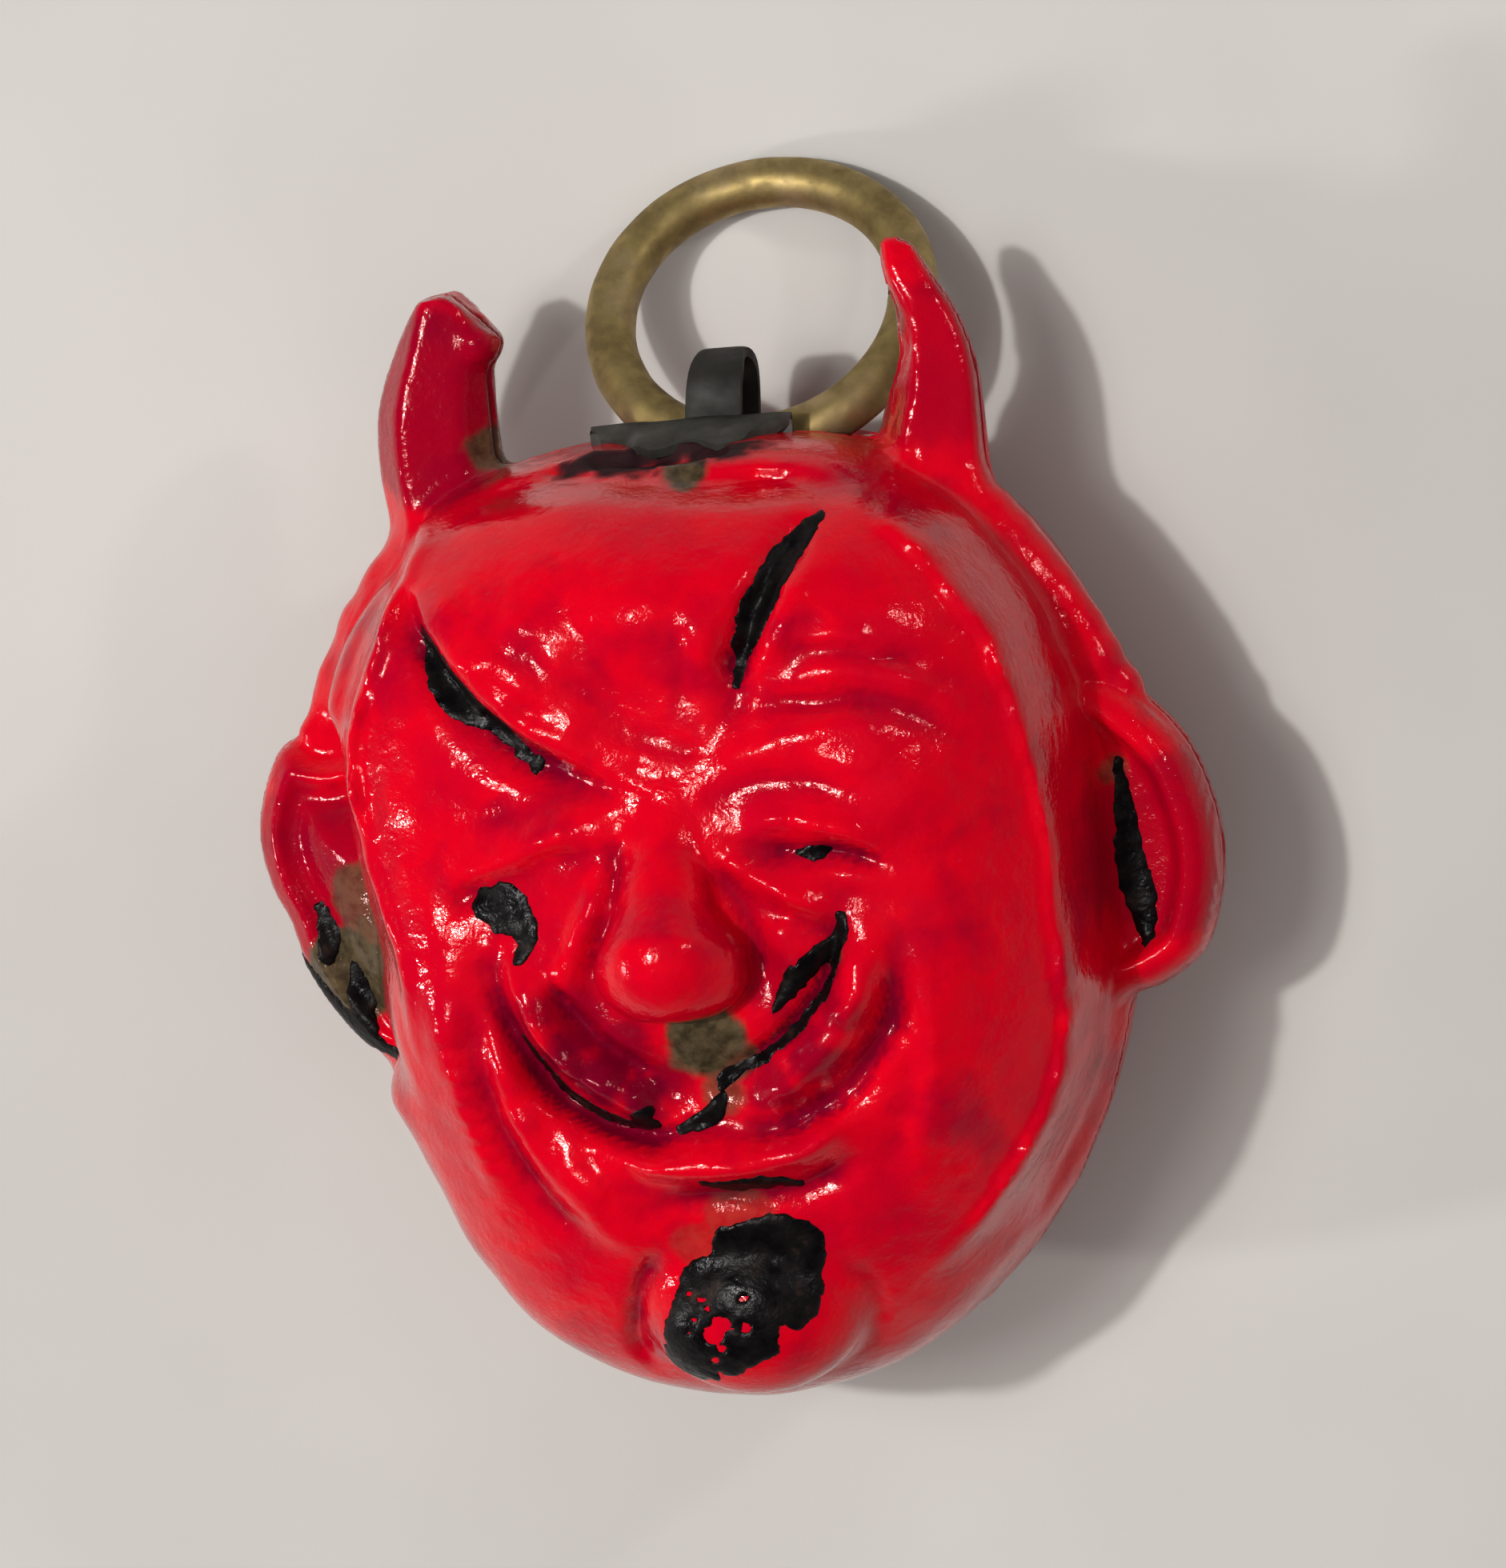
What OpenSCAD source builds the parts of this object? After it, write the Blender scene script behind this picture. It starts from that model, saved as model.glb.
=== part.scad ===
// Small hollow devil-head ornament with a hanging ring.
// It lies on the back of the head: +X to the viewer's right, +Y to the crown, +Z out of the face.
// "left" and "right" are the viewer's, looking at the face.

/* [Head] */
// Half the head's width at the seam, without the ears
head_half_w = 8.0; // [7.6:0.1:8.4]
// Height of the crown above the head's centre
crown_h = 8.9; // [8.6:0.1:9.2]
// Depth of the chin below the head's centre
chin_h = 10.0; // [9.4:0.1:10.6]
// Height of the cheeks above the seam
face_depth = 6.0; // [5.4:0.1:6.6]
// Wall of the two moulded shells
wall = 0.9; // [0.7:0.05:1.1]
// How far the back shell would bulge past its flat resting spot
back_flat = 0.12; // [0.05:0.01:0.2]

/* [Horns and ears] */
// Height of the whole right horn's tip above the head's centre
right_horn_h = 12.4; // [12:0.1:12.8]
// Height of the broken left horn above the head's centre
left_horn_h = 11.6; // [11:0.1:12]
// How far the left ear's rim stands from the head's middle
left_ear_out = 9.6; // [9.3:0.1:9.9]
// How far the right ear's rim stands from the head's middle
right_ear_out = 9.5; // [9.3:0.1:9.9]

/* [Hanger] */
// Mean radius of the jump ring
ring_r = 3.05; // [2.9:0.05:3.2]
// Diameter of the ring's wire
wire_d = 1.0; // [0.9:0.05:1.05]
// How far the ring leans back from the seam plane at rest
ring_lean = 39; // [36:1:42]
// How far the ring's middle lies to the right of the eye
ring_shift = 0.57; // [0.4:0.01:0.7]
// Thickness of the strip that the eye is bent from
strip_t = 0.25; // [0.2:0.01:0.3]
// Width of that strip
strip_w = 1.1; // [1:0.05:1.2]
// Clear width inside the eye
eye_gap = 1.4; // [1.36:0.02:1.5]
// Height of the eye's top above the head's centre
eye_top = 10.45; // [10.2:0.05:10.6]
// Thickness of the crown cap's sheet
cap_t = 0.2; // [0.15:0.01:0.25]
// Width of the crown cap
cap_w = 4.0; // [3.6:0.1:4.2]

/* [Paint] */
// How far the paint stands above the moulding
paint_up = 0.09; // [0.04:0.01:0.12]
// How far the paint's solid reaches into the moulding
paint_in = 0.14; // [0.1:0.01:0.2]

/* [Hidden] */

head_mid = -0.25;       // the face's own middle, left of the head frame's origin
swell = 2.4;            // exponent of the domes' cross-section
brow_square = 2.7;      // exponent of the outline above the middle
jaw_square = 2.0;       // and below it
eye_x = 0.28;           // middle of the eye's strip
eye_y = 8.63;           // the swing axis: the middle of the wire inside the eye
eye_z = -0.64;
cap_x = -0.1;
foot = 0.45;            // length of each foot, under the cap
slot_room = 0.02;       // room round the strip in the cap's slots
groove_room = 0.14;     // room round the ring in the crown's groove
ball_turn = 4;          // turns the balls' facets away from the domes' own

// The ring's middle lies ring_reach from the swing axis, along the ring's own plane.
ring_reach = sqrt(ring_r * ring_r - ring_shift * ring_shift);
ring_drop = (ring_reach + ring_r) * sin(ring_lean) - eye_z + wire_d / 2;
seam_h = ring_drop;     // the ring's far side and the back of the head rest on one surface
back_depth = seam_h + back_flat;

// The head's centre in the part's frame, whose origin is under the middle of the whole part.
ring_far_y = eye_y + (ring_reach + ring_r) * cos(ring_lean) + wire_d / 2;
head_x = (left_ear_out - right_ear_out) / 2;
head_y = (chin_h - ring_far_y) / 2;

RED = [0.80, 0.03, 0.06];
BLACK = [0.05, 0.03, 0.04];
STEEL = [0.38, 0.38, 0.34];
BRASS = [0.55, 0.45, 0.22];

// Relief on the face: [x, y, half length, half width, turn, height]
RELIEF = [
    [-0.20, 0.8, 2.6, 1.5, 90, 0.45],      // rise under the nose
    [-4.00, 4.6, 1.8, 0.7, -45, 0.35],     // left brow
    [2.70, 5.6, 1.8, 0.7, 60, 0.40],       // right brow
    [-0.55, 6.1, 1.6, 1.2, 0, 0.45],       // bulge of the forehead
    [3.90, 4.8, 1.5, 1.1, 10, 0.35],       // bulge over the right brow
    [-4.45, -1.6, 2.2, 1.3, 100, 0.50],    // left cheek
    [4.20, -1.2, 2.2, 1.3, 80, 0.50],      // right cheek
    [-2.10, -2.1, 2.0, 0.6, -48, 0.45],    // left side of the upper lip
    [2.30, -1.8, 2.0, 0.6, 52, 0.45],      // right side of the upper lip
    [0.40, -4.5, 2.2, 0.45, 12, 0.40],     // lower lip
    [0.35, -7.6, 1.9, 1.6, 0, 1.55],       // chin
    [-3.20, 1.5, 1.1, 0.8, 0, -0.40],      // left eye socket
    [2.75, 1.9, 1.1, 0.7, 0, -0.35],       // right eye socket
    [0.20, -3.0, 2.2, 0.5, 0, -0.35]       // mouth
];

// Balls of the nose: [x, y, z, radius]
NOSE_BRIDGE = [[-0.12, 2.5, 5.35, 0.8], [-0.25, 0.3, 6.35, 1.0]];
NOSE_BALLS = [[-0.3, -0.5, 6.6, 1.3], [-1.35, -0.75, 6.1, 0.8], [0.95, -0.9, 6.1, 0.78]];

// Horns and ears as chains of balls: [x, y, radius]
RIGHT_HORN = [
    [4.35, 7.8, 1.15], [4.5, 9.3, 0.93], [4.66, 10.2, 0.72],
    [4.55, 11.0, 0.56], [4.27, right_horn_h - 0.6, 0.36], [4.12, right_horn_h - 0.2, 0.2]
];
LEFT_HORN = [
    [-5.2, 7.9, 1.2], [-5.2, 9.2, 1.1], [-5.02, 10.3, 1.02],
    [-4.78, left_horn_h - 0.5, 0.86]
];
LEFT_EAR = [
    [-7.6, 2.3, 0.75], [-left_ear_out + 0.75, 1.3, 0.75], [-left_ear_out + 1.2, -0.6, 0.72],
    [-7.5, -2.15, 0.65], [-6.6, 0.1, 1.0]
];
RIGHT_EAR = [
    [7.5, 2.7, 0.75], [right_ear_out - 0.95, 1.7, 0.75], [right_ear_out - 0.75, 0.5, 0.75],
    [right_ear_out - 1.05, -1.0, 0.72], [7.3, -1.95, 0.65], [6.4, 0.1, 1.0]
];

// Half-axis of the outline above or below the middle, and its exponent.
function reach(up) = up > 0 ? crown_h : chin_h;
function square(up) = up > 0 ? brow_square : jaw_square;

// Distance from the head's middle to the outline, in the direction a, for an outline drawn in by inset.
function rim(a, inset) =
    pow(
        pow(abs(cos(a)) / (head_half_w - inset), square(sin(a)))
        + pow(abs(sin(a)) / (reach(sin(a)) - inset), square(sin(a))),
        -1 / square(sin(a))
    );

// Share of the way from the middle to the outline at x, y.
function share(x, y) = norm([x - head_mid, y]) / rim(atan2(y, x - head_mid), 0);

function mound(x, y, r) =
    let (c = cos(r[4]), s = sin(r[4]), dx = x - r[0], dy = y - r[1])
    r[5] * exp(-pow((dx * c + dy * s) / r[2], 2) - pow((dy * c - dx * s) / r[3], 2));

function relief(x, y, i = 0) = i == len(RELIEF) ? 0 : mound(x, y, RELIEF[i]) + relief(x, y, i + 1);

// The hood's rim runs round the temples and over the forehead, near the outline.
function hood(t, y) = 0.3 * exp(-pow((t - 0.87) / 0.05, 2)) * min(1, max(0, (y + 1.5) / 3));

// Height of a dome of the given depth, and of the face with its relief faded out at the seam.
function dome(t, depth) = depth * pow(max(1 - pow(min(t, 1), swell), 0), 1 / swell);
function face_z(x, y) =
    let (t = share(x, y))
    dome(t, face_depth) + hood(t, y) + relief(x, y) * (1 - pow(min(t, 1), 6));

// A closed dome on a skirt: rings of points from the seam up to the top, over an inset outline.
module dome_solid(sides, rings, inset, depth, skirt, with_face) {
    turns = [for (j = [0:sides - 1]) j * 360 / sides];
    function at(a, i) =
        let (t = pow(cos(90 * i / rings), 2 / swell), r = rim(a, inset) * t)
        let (x = head_mid + r * cos(a), y = r * sin(a))
        [x, y, with_face ? face_z(x, y) : dome(t, depth - inset)];
    base = [for (a = turns) [head_mid + rim(a, inset) * cos(a), rim(a, inset) * sin(a), -skirt]];
    sheet = [for (i = [0:rings - 1]) for (a = turns) at(a, i)];
    top = [[head_mid, 0, with_face ? face_z(head_mid, 0) : depth - inset]];
    points = concat(base, sheet, top);
    rows = rings + 1;
    last = len(points) - 1;
    floor_face = [[for (j = [0:sides - 1]) j]];
    walls = [
        for (i = [0:rows - 2]) for (j = [0:sides - 1])
            let (k = (j + 1) % sides)
            each [
                [i * sides + j, (i + 1) * sides + j, (i + 1) * sides + k],
                [i * sides + j, (i + 1) * sides + k, i * sides + k]
            ]
    ];
    crown = [for (j = [0:sides - 1]) [(rows - 1) * sides + j, last, (rows - 1) * sides + (j + 1) % sides]];
    polyhedron(points = points, faces = concat(floor_face, walls, crown), convexity = 6);
}

module ball(p, flat = 1) {
    translate([p[0], p[1], 0]) scale([1, 1, flat]) rotate(ball_turn) sphere(r = p[2], $fn = 24);
}

module chain(balls, flat = 1) {
    for (i = [0:len(balls) - 2]) hull() {
        ball(balls[i], flat);
        ball(balls[i + 1], flat);
    }
}

// The left horn's tip is snapped off along a slanted plane.
module left_horn() {
    difference() {
        union() {
            chain(LEFT_HORN);
            translate([-4.35, left_horn_h - 0.75, 0]) sphere(r = 0.62, $fn = 20);
        }
        translate([-4.55, left_horn_h + 0.05, -3]) rotate(-38) cube([4, 3, 6]);
        translate([-8.2, left_horn_h + 0.3, -3]) cube([4, 3, 6]);
    }
}

module ear(balls, scoop) {
    difference() {
        hull() for (b = balls) ball(b, 1.5);
        translate([scoop[0], scoop[1], 1.5]) scale([0.62, 1.5, 0.85]) sphere(r = 1.0, $fn = 22);
    }
}

module nose() {
    hull() for (b = NOSE_BRIDGE) translate([b[0], b[1], b[2]]) sphere(r = b[3], $fn = 24);
    for (b = NOSE_BALLS) translate([b[0], b[1], b[2]]) sphere(r = b[3], $fn = 28);
}

module horns_and_ears() {
    left_horn();
    chain(RIGHT_HORN);
    ear(LEFT_EAR, [-8.25, 0.2]);
    ear(RIGHT_EAR, [8.05, 0.3]);
}

// The opening in the crown that the cap sits in, and the groove behind it that the ring lies in.
module crown_opening() {
    translate([cap_x - cap_w / 2, 7.2, trough_back]) cube([cap_w, 3, trough_front - trough_back]);
    intersection() {
        hull() for (lean = [ring_lean + 3, 5]) at_ring(lean) cylinder(
            h = wire_d + 2 * groove_room, r = ring_r + wire_d / 2 + groove_room, center = true, $fn = 72
        );
        translate([-6, 6, -5]) cube([12, 3.2, 6]);
    }
}

// Moves a piece from the ring's own centre to its place when the ring leans back by lean.
module at_ring(lean) {
    translate([eye_x, eye_y, eye_z]) rotate([-lean, 0, 0]) translate([ring_shift, ring_reach, 0])
        children();
}

// From the head's own frame to the part's.
module place() {
    translate([head_x, head_y, seam_h]) children();
}

/* The two moulded shells, glued along the seam */
module face_shell() {
    color(RED) place() intersection() {
        difference() {
            union() {
                dome_solid(84, 32, 0, face_depth, 0.4, true);
                nose();
                horns_and_ears();
            }
            dome_solid(40, 12, wall, face_depth, 1, false);
            crown_opening();
        }
        translate([-15, -15, 0]) cube([30, 30, 15]);
    }
}

module back_shell() {
    color(RED) place() intersection() {
        difference() {
            union() {
                mirror([0, 0, 1]) dome_solid(64, 16, 0, back_depth, 0.4, false);
                horns_and_ears();
            }
            mirror([0, 0, 1]) dome_solid(40, 12, wall, back_depth, 1, false);
            crown_opening();
        }
        translate([-15, -15, -seam_h]) cube([30, 30, seam_h]);
    }
}

/* The hanger */
// Inside faces of the cap's trough, which the strip's two legs run down
leg_front = eye_z + eye_gap / 2;
leg_back = eye_z - eye_gap / 2;
trough_front = leg_front + strip_t + slot_room + cap_t;
trough_back = leg_back - strip_t - slot_room - cap_t;
trough_floor = 7.72;

// Sheet-metal saddle: a sloping front lip, and a trough that drops into the crown's opening.
module crown_cap() {
    module profile() polygon([
        [trough_front + 1.05, 8.84], [trough_front + 1.05, 8.84 + cap_t],
        [trough_front - cap_t, 9.12 + cap_t], [trough_front - cap_t, trough_floor + cap_t],
        [trough_back + cap_t, trough_floor + cap_t], [trough_back + cap_t, 8.62],
        [trough_back, 8.62], [trough_back, trough_floor],
        [trough_front, trough_floor], [trough_front, 9.12]
    ]);
    color(STEEL) place() difference() {
        along_x(cap_x, cap_w) profile();
        for (z = [leg_front, leg_back - strip_t]) translate([
            eye_x - strip_w / 2 - slot_room, trough_floor - 1, z - slot_room
        ]) cube([strip_w + 2 * slot_room, 2, strip_t + 2 * slot_room]);
    }
}

// Extrudes an outline drawn as [z, y] along X.
module along_x(x, w) {
    translate([x + w / 2, 0, 0]) rotate([0, -90, 0]) linear_extrude(height = w) children();
}

// Strip bent over the ring, with its two legs through the cap and its feet spread under it.
module hanger_eye() {
    out_r = eye_gap / 2 + strip_t;
    arch_y = eye_top - out_r;
    foot_y = trough_floor - slot_room - strip_t;
    color(STEEL) place() along_x(eye_x, strip_w) {
        translate([eye_z, arch_y]) difference() {
            circle(r = out_r, $fn = 48);
            circle(r = eye_gap / 2, $fn = 48);
            translate([-2, -4]) square([4, 4]);
        }
        for (side = [-1, 1]) translate([eye_z, 0]) scale([side, 1]) {
            translate([eye_gap / 2, foot_y]) square([strip_t, arch_y - foot_y]);
            translate([eye_gap / 2, foot_y]) square([foot, strip_t]);
        }
    }
}

// Round wire ring, open by a hair behind the right horn.
module jump_ring() {
    color(BRASS) place() at_ring(ring_lean) rotate(2) rotate_extrude(angle = 357, $fn = 96)
        translate([ring_r, 0]) circle(d = wire_d, $fn = 32);
}

/* Paint */
// Points put evenly between the given ones.
function finer(path, parts) = concat(
    [for (i = [0:len(path) - 2]) for (k = [0:parts - 1]) path[i] + (path[i + 1] - path[i]) * k / parts],
    [path[len(path) - 1]]
);

// A ribbon of paint laid on the face along a path of [x, y, width].
module paint(stroke, steps = 4) {
    path = finer(stroke, 3);
    n = len(path);
    function heading(i) =
        let (d = path[min(i + 2, n - 1)] - path[max(i - 2, 0)]) atan2(d[1], d[0]);
    function at(i, j, dz) =
        let (p = path[i], w = p[2] * (j / steps - 0.5), a = heading(i) + 90)
        let (x = p[0] + w * cos(a), y = p[1] + w * sin(a))
        [x, y, face_z(x, y) + dz];
    across = steps + 1;
    upper = [for (i = [0:n - 1]) for (j = [0:steps]) at(i, j, paint_up)];
    lower = [for (i = [0:n - 1]) for (j = [0:steps]) at(i, j, -paint_in)];
    low = n * across;
    cells = [
        for (i = [0:n - 2]) for (j = [0:steps - 1])
            let (a = i * across + j, b = a + across)
            each [
                [a, a + 1, b + 1], [a, b + 1, b],
                [low + a, low + b + 1, low + a + 1], [low + a, low + b, low + b + 1]
            ]
    ];
    ends = [
        for (j = [0:steps - 1]) for (i = [0, n - 1])
            let (a = i * across + j, b = a + 1)
            each i == 0
                ? [[a, low + a, low + b], [a, low + b, b]]
                : [[a, low + b, low + a], [a, b, low + b]]
    ];
    sides = [
        for (i = [0:n - 2]) for (j = [0, steps])
            let (a = i * across + j, b = a + across)
            each j == 0
                ? [[a, low + b, low + a], [a, b, low + b]]
                : [[a, low + a, low + b], [a, low + b, b]]
    ];
    color(BLACK) place()
        polyhedron(points = concat(upper, lower), faces = concat(cells, ends, sides), convexity = 4);
}

module brow_paint_left() {
    paint([
        [-4.6, 6.0, 0.2], [-4.35, 5.5, 0.55], [-4.0, 4.85, 0.7],
        [-3.4, 4.3, 0.45], [-2.9, 3.8, 0.3], [-2.4, 3.4, 0.15]
    ]);
}

module brow_paint_right() {
    paint([
        [3.1, 7.4, 0.2], [2.8, 7.05, 0.45], [2.45, 6.6, 0.6],
        [2.05, 6.0, 0.6], [1.75, 5.4, 0.4], [1.55, 4.7, 0.2]
    ]);
}

module eye_paint_left() {
    paint([
        [-3.75, 0.95, 0.5], [-3.5, 0.85, 1.0], [-3.2, 0.7, 1.1],
        [-3.0, 0.4, 0.8], [-2.95, 0.0, 0.4], [-3.1, -0.3, 0.2]
    ]);
}

module eye_paint_right() {
    paint([[2.35, 1.42, 0.12], [2.55, 1.46, 0.3], [2.75, 1.48, 0.36], [2.95, 1.46, 0.3], [3.12, 1.42, 0.12]]);
}

module moustache_paint_left() {
    paint([[-3.1, -1.6, 0.15], [-2.9, -2.2, 0.3], [-2.5, -2.8, 0.35], [-2.0, -3.2, 0.4], [-1.5, -3.5, 0.35]]);
}

module moustache_paint_right() {
    paint([
        [1.1, -2.55, 0.2], [1.55, -1.9, 0.4], [2.0, -1.2, 0.6],
        [2.5, -0.6, 0.6], [3.0, 0.0, 0.35], [3.2, 0.3, 0.15]
    ]);
}

module mouth_paint() {
    paint([[-1.3, -3.55, 0.2], [-0.7, -3.7, 0.4], [-0.1, -3.65, 0.5], [0.35, -3.35, 0.45], [0.6, -2.9, 0.3]]);
}

module lip_paint() {
    paint([[0.0, -4.85, 0.12], [0.45, -4.85, 0.28], [0.9, -4.87, 0.3], [1.6, -4.95, 0.12]]);
}

module goatee_paint() {
    paint([
        [0.85, -5.75, 1.2], [0.75, -6.2, 2.3], [0.55, -6.8, 3.0],
        [0.35, -7.4, 3.0], [0.1, -8.1, 2.3], [-0.1, -8.8, 1.3]
    ], 8);
}

// The ears' paint lies in the ears' scoops.
module ear_paint(scoop, bend) {
    color(BLACK) place() translate([scoop[0], scoop[1], 0.62]) rotate(bend)
        scale([0.3, 1.0, 0.16]) sphere(r = 1.05, $fn = 20);
}

module ear_paint_left() ear_paint([-8.2, -0.5], 14);
module ear_paint_right() ear_paint([8.05, 0.3], 3);

face_shell();
back_shell();
crown_cap();
hanger_eye();
jump_ring();
brow_paint_left();
brow_paint_right();
eye_paint_left();
eye_paint_right();
moustache_paint_left();
moustache_paint_right();
mouth_paint();
lip_paint();
goatee_paint();
ear_paint_left();
ear_paint_right();
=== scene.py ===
import math

import bmesh
import bpy
import numpy as np
from mathutils import Matrix, Vector


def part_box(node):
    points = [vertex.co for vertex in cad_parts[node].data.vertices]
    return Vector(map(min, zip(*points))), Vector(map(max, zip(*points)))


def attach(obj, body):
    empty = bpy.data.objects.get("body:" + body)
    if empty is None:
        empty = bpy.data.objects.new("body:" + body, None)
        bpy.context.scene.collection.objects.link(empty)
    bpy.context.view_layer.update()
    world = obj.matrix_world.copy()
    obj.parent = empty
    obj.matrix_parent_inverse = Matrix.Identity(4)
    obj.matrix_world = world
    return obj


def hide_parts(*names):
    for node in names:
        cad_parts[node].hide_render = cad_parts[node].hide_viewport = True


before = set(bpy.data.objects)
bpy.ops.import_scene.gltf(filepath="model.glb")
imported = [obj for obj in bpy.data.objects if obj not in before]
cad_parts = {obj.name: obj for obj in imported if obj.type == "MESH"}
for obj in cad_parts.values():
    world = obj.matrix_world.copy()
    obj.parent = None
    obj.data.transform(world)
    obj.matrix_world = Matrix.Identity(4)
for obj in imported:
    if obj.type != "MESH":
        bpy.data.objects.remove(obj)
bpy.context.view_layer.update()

# ---------------------------------------------------------------- frame and sizes, in mm
MM = 0.001
face_box = np.array(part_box("face_shell")) / MM
back_box = np.array(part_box("back_shell")) / MM
EAR_OUT, CHIN = 9.6, 10.0
SEAM = back_box[1][2]
HEAD = np.array([face_box[0][0] + EAR_OUT, face_box[0][1] + CHIN, SEAM])  # the head's own centre

CELL = 0.095           # spacing of the sculpting grid
GRID = ((-10.26, 10.165), (-10.735, 13.015), (-5.32, 8.55))  # its reach on each axis
HALF_W, CROWN = 8.0, 8.9           # half width of the head, and height of its crown over the centre
MID_X = -0.25                      # middle of the head, without its ears
TOP_POWER, JAW_POWER = 2.7, 2.0    # how square its outline is above and below the centre
FRONT_DEPTH = 6.0                  # depth of the plain dome of the face
BACK_DEPTH = SEAM + 0.12           # and of the back, which is cut flat where it rests
WALL = 1.8                         # thickness of the mouldings, enough for the deepest groove
PIT_AT, PIT_SIZE = (-0.4, 8.88, 2.1), (1.7, 0.50, 0.62)    # the torn hole in the crown
CHIN_AT, CHIN_SIZE = (0.33, -7.45, 3.6), (2.2, 1.85, 1.9)  # the knob of the chin
CAP_ROOM = ((-2.1, 7.2, -1.62), (1.9, 10.0, 0.5))          # room for the cap inside the crown


# ---------------------------------------------------------------- small tools
def ease(t):
    t = np.clip(t, 0, 1)
    return t * t * (3 - 2 * t)


def noise(seed, scale, *axes):
    """Smooth value noise from -1 to 1; scale is the size of its patches, and the axes may be sparse."""
    rng = np.random.default_rng(seed)
    n = 32
    lattice = rng.uniform(-1, 1, (n,) * len(axes)).astype(np.float32)
    low, part = [], []
    for a in axes:
        q = np.asarray(a, np.float32) / scale + 1000.0
        f = np.floor(q)
        low.append(f.astype(np.int64))
        part.append(ease(q - f))
    total = 0
    for corner in np.ndindex(*(2,) * len(axes)):
        weight, index = 1, []
        for k, c in enumerate(corner):
            weight = weight * (part[k] if c else 1 - part[k])
            index.append((low[k] + c) % n)
        total = total + weight * lattice[tuple(index)]
    return total


def curve(points, parts=6):
    """Points of a smooth curve through the given ones."""
    p = np.array(points, float)
    if len(p) < 3:
        t = np.linspace(0, 1, parts + 1)[:, None]
        return p[0] * (1 - t) + p[-1] * t
    p = np.vstack([2 * p[0] - p[1], p, 2 * p[-1] - p[-2]])
    out = []
    for i in range(1, len(p) - 2):
        a, b, c, d = p[i - 1:i + 3]
        for t in np.arange(parts) / parts:
            out.append(0.5 * (2 * b + (c - a) * t + (2 * a - 5 * b + 4 * c - d) * t * t
                              + (3 * b - a - 3 * c + d) * t ** 3))
    out.append(p[-2])
    return np.array(out)


def along(path, *xy):
    """Distance to a path, the side of it (1 on its left), and the place along it from 0 to 1."""
    d = np.full(xy[0].shape, 1e9, np.float32)
    side, place = np.zeros_like(d), np.zeros_like(d)
    steps = np.diff(path, axis=0)
    length = np.maximum(np.sqrt((steps ** 2).sum(1)), 1e-9)
    total, done = length.sum(), 0.0
    for a, s, size in zip(path[:-1], steps, length):
        rel = [q - o for q, o in zip(xy, a)]
        t = np.clip(sum(r * c for r, c in zip(rel, s)) / size ** 2, 0, 1)
        gap = np.sqrt(sum((r - t * c) ** 2 for r, c in zip(rel, s)))
        near = gap < d
        d = np.where(near, gap, d)
        side = np.where(near, np.sign(s[0] * rel[1] - s[1] * rel[0]), side)
        place = np.where(near, (done + t * size) / total, place)
        done += size
    return d, side, place


def blend_max(a, b, k):
    """The union of two fields with a fillet of about k."""
    h = np.maximum(k - np.abs(a - b), 0) / k
    return np.maximum(a, b) + h * h * k / 4


def blend_min(a, b, k):
    return -blend_max(-a, -b, k)


def ball(x, y, z, at, size):
    """Distance from a centre, as a share of an ellipsoid's half sizes."""
    return np.sqrt(sum(((q - c) / s) ** 2 for q, c, s in zip((x, y, z), at, size)))


def half_width(x, y):
    """Half the width of the head: the jaw is narrower on the left."""
    return HALF_W - np.where(x < MID_X, 0.70 * ease((-1.6 - y) / 2.8) * ease((y + 9.2) / 4.2), 0)


def share(x, y):
    """0 in the middle of the face and 1 on its outline."""
    n = np.where(y > 0, TOP_POWER, JAW_POWER)
    up = np.where(y > 0, CROWN, CHIN)
    return (np.abs((x - MID_X) / half_width(x, y)) ** n + np.abs(y / up) ** n) ** (1 / n)


def swell(y):
    """Exponent of the dome's cross-section: the forehead is fuller than the jaw."""
    return (2.5 + 0.55 * ease((y - 1.0) / 4.5)).astype(np.float32)


# ---------------------------------------------------------------- the face's relief
# Strokes: path, width on its left, width on its right, height. Mounds: x, y, half length, half width,
# turn in degrees, height.
EDGE_LEFT = [(-3.9, 8.1), (-4.8, 7.65), (-5.4, 6.55), (-6.15, 4.8), (-6.5, 3.5), (-6.3, 1.8), (-6.0, 0.8),
             (-5.65, -0.45), (-5.6, -1.9), (-5.1, -3.5), (-4.35, -5.1), (-3.35, -6.8), (-1.9, -7.9)]
EDGE_RIGHT = [(2.5, 8.1), (3.95, 7.75), (5.0, 7.1), (5.85, 6.0), (6.4, 4.9), (6.7, 3.8), (6.85, 2.6),
              (7.0, 1.5), (7.05, 0.1), (7.05, -1.1), (7.0, -2.5), (6.65, -3.8), (6.1, -4.8), (5.0, -6.2),
              (3.5, -7.4), (2.6, -8.0)]

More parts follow.
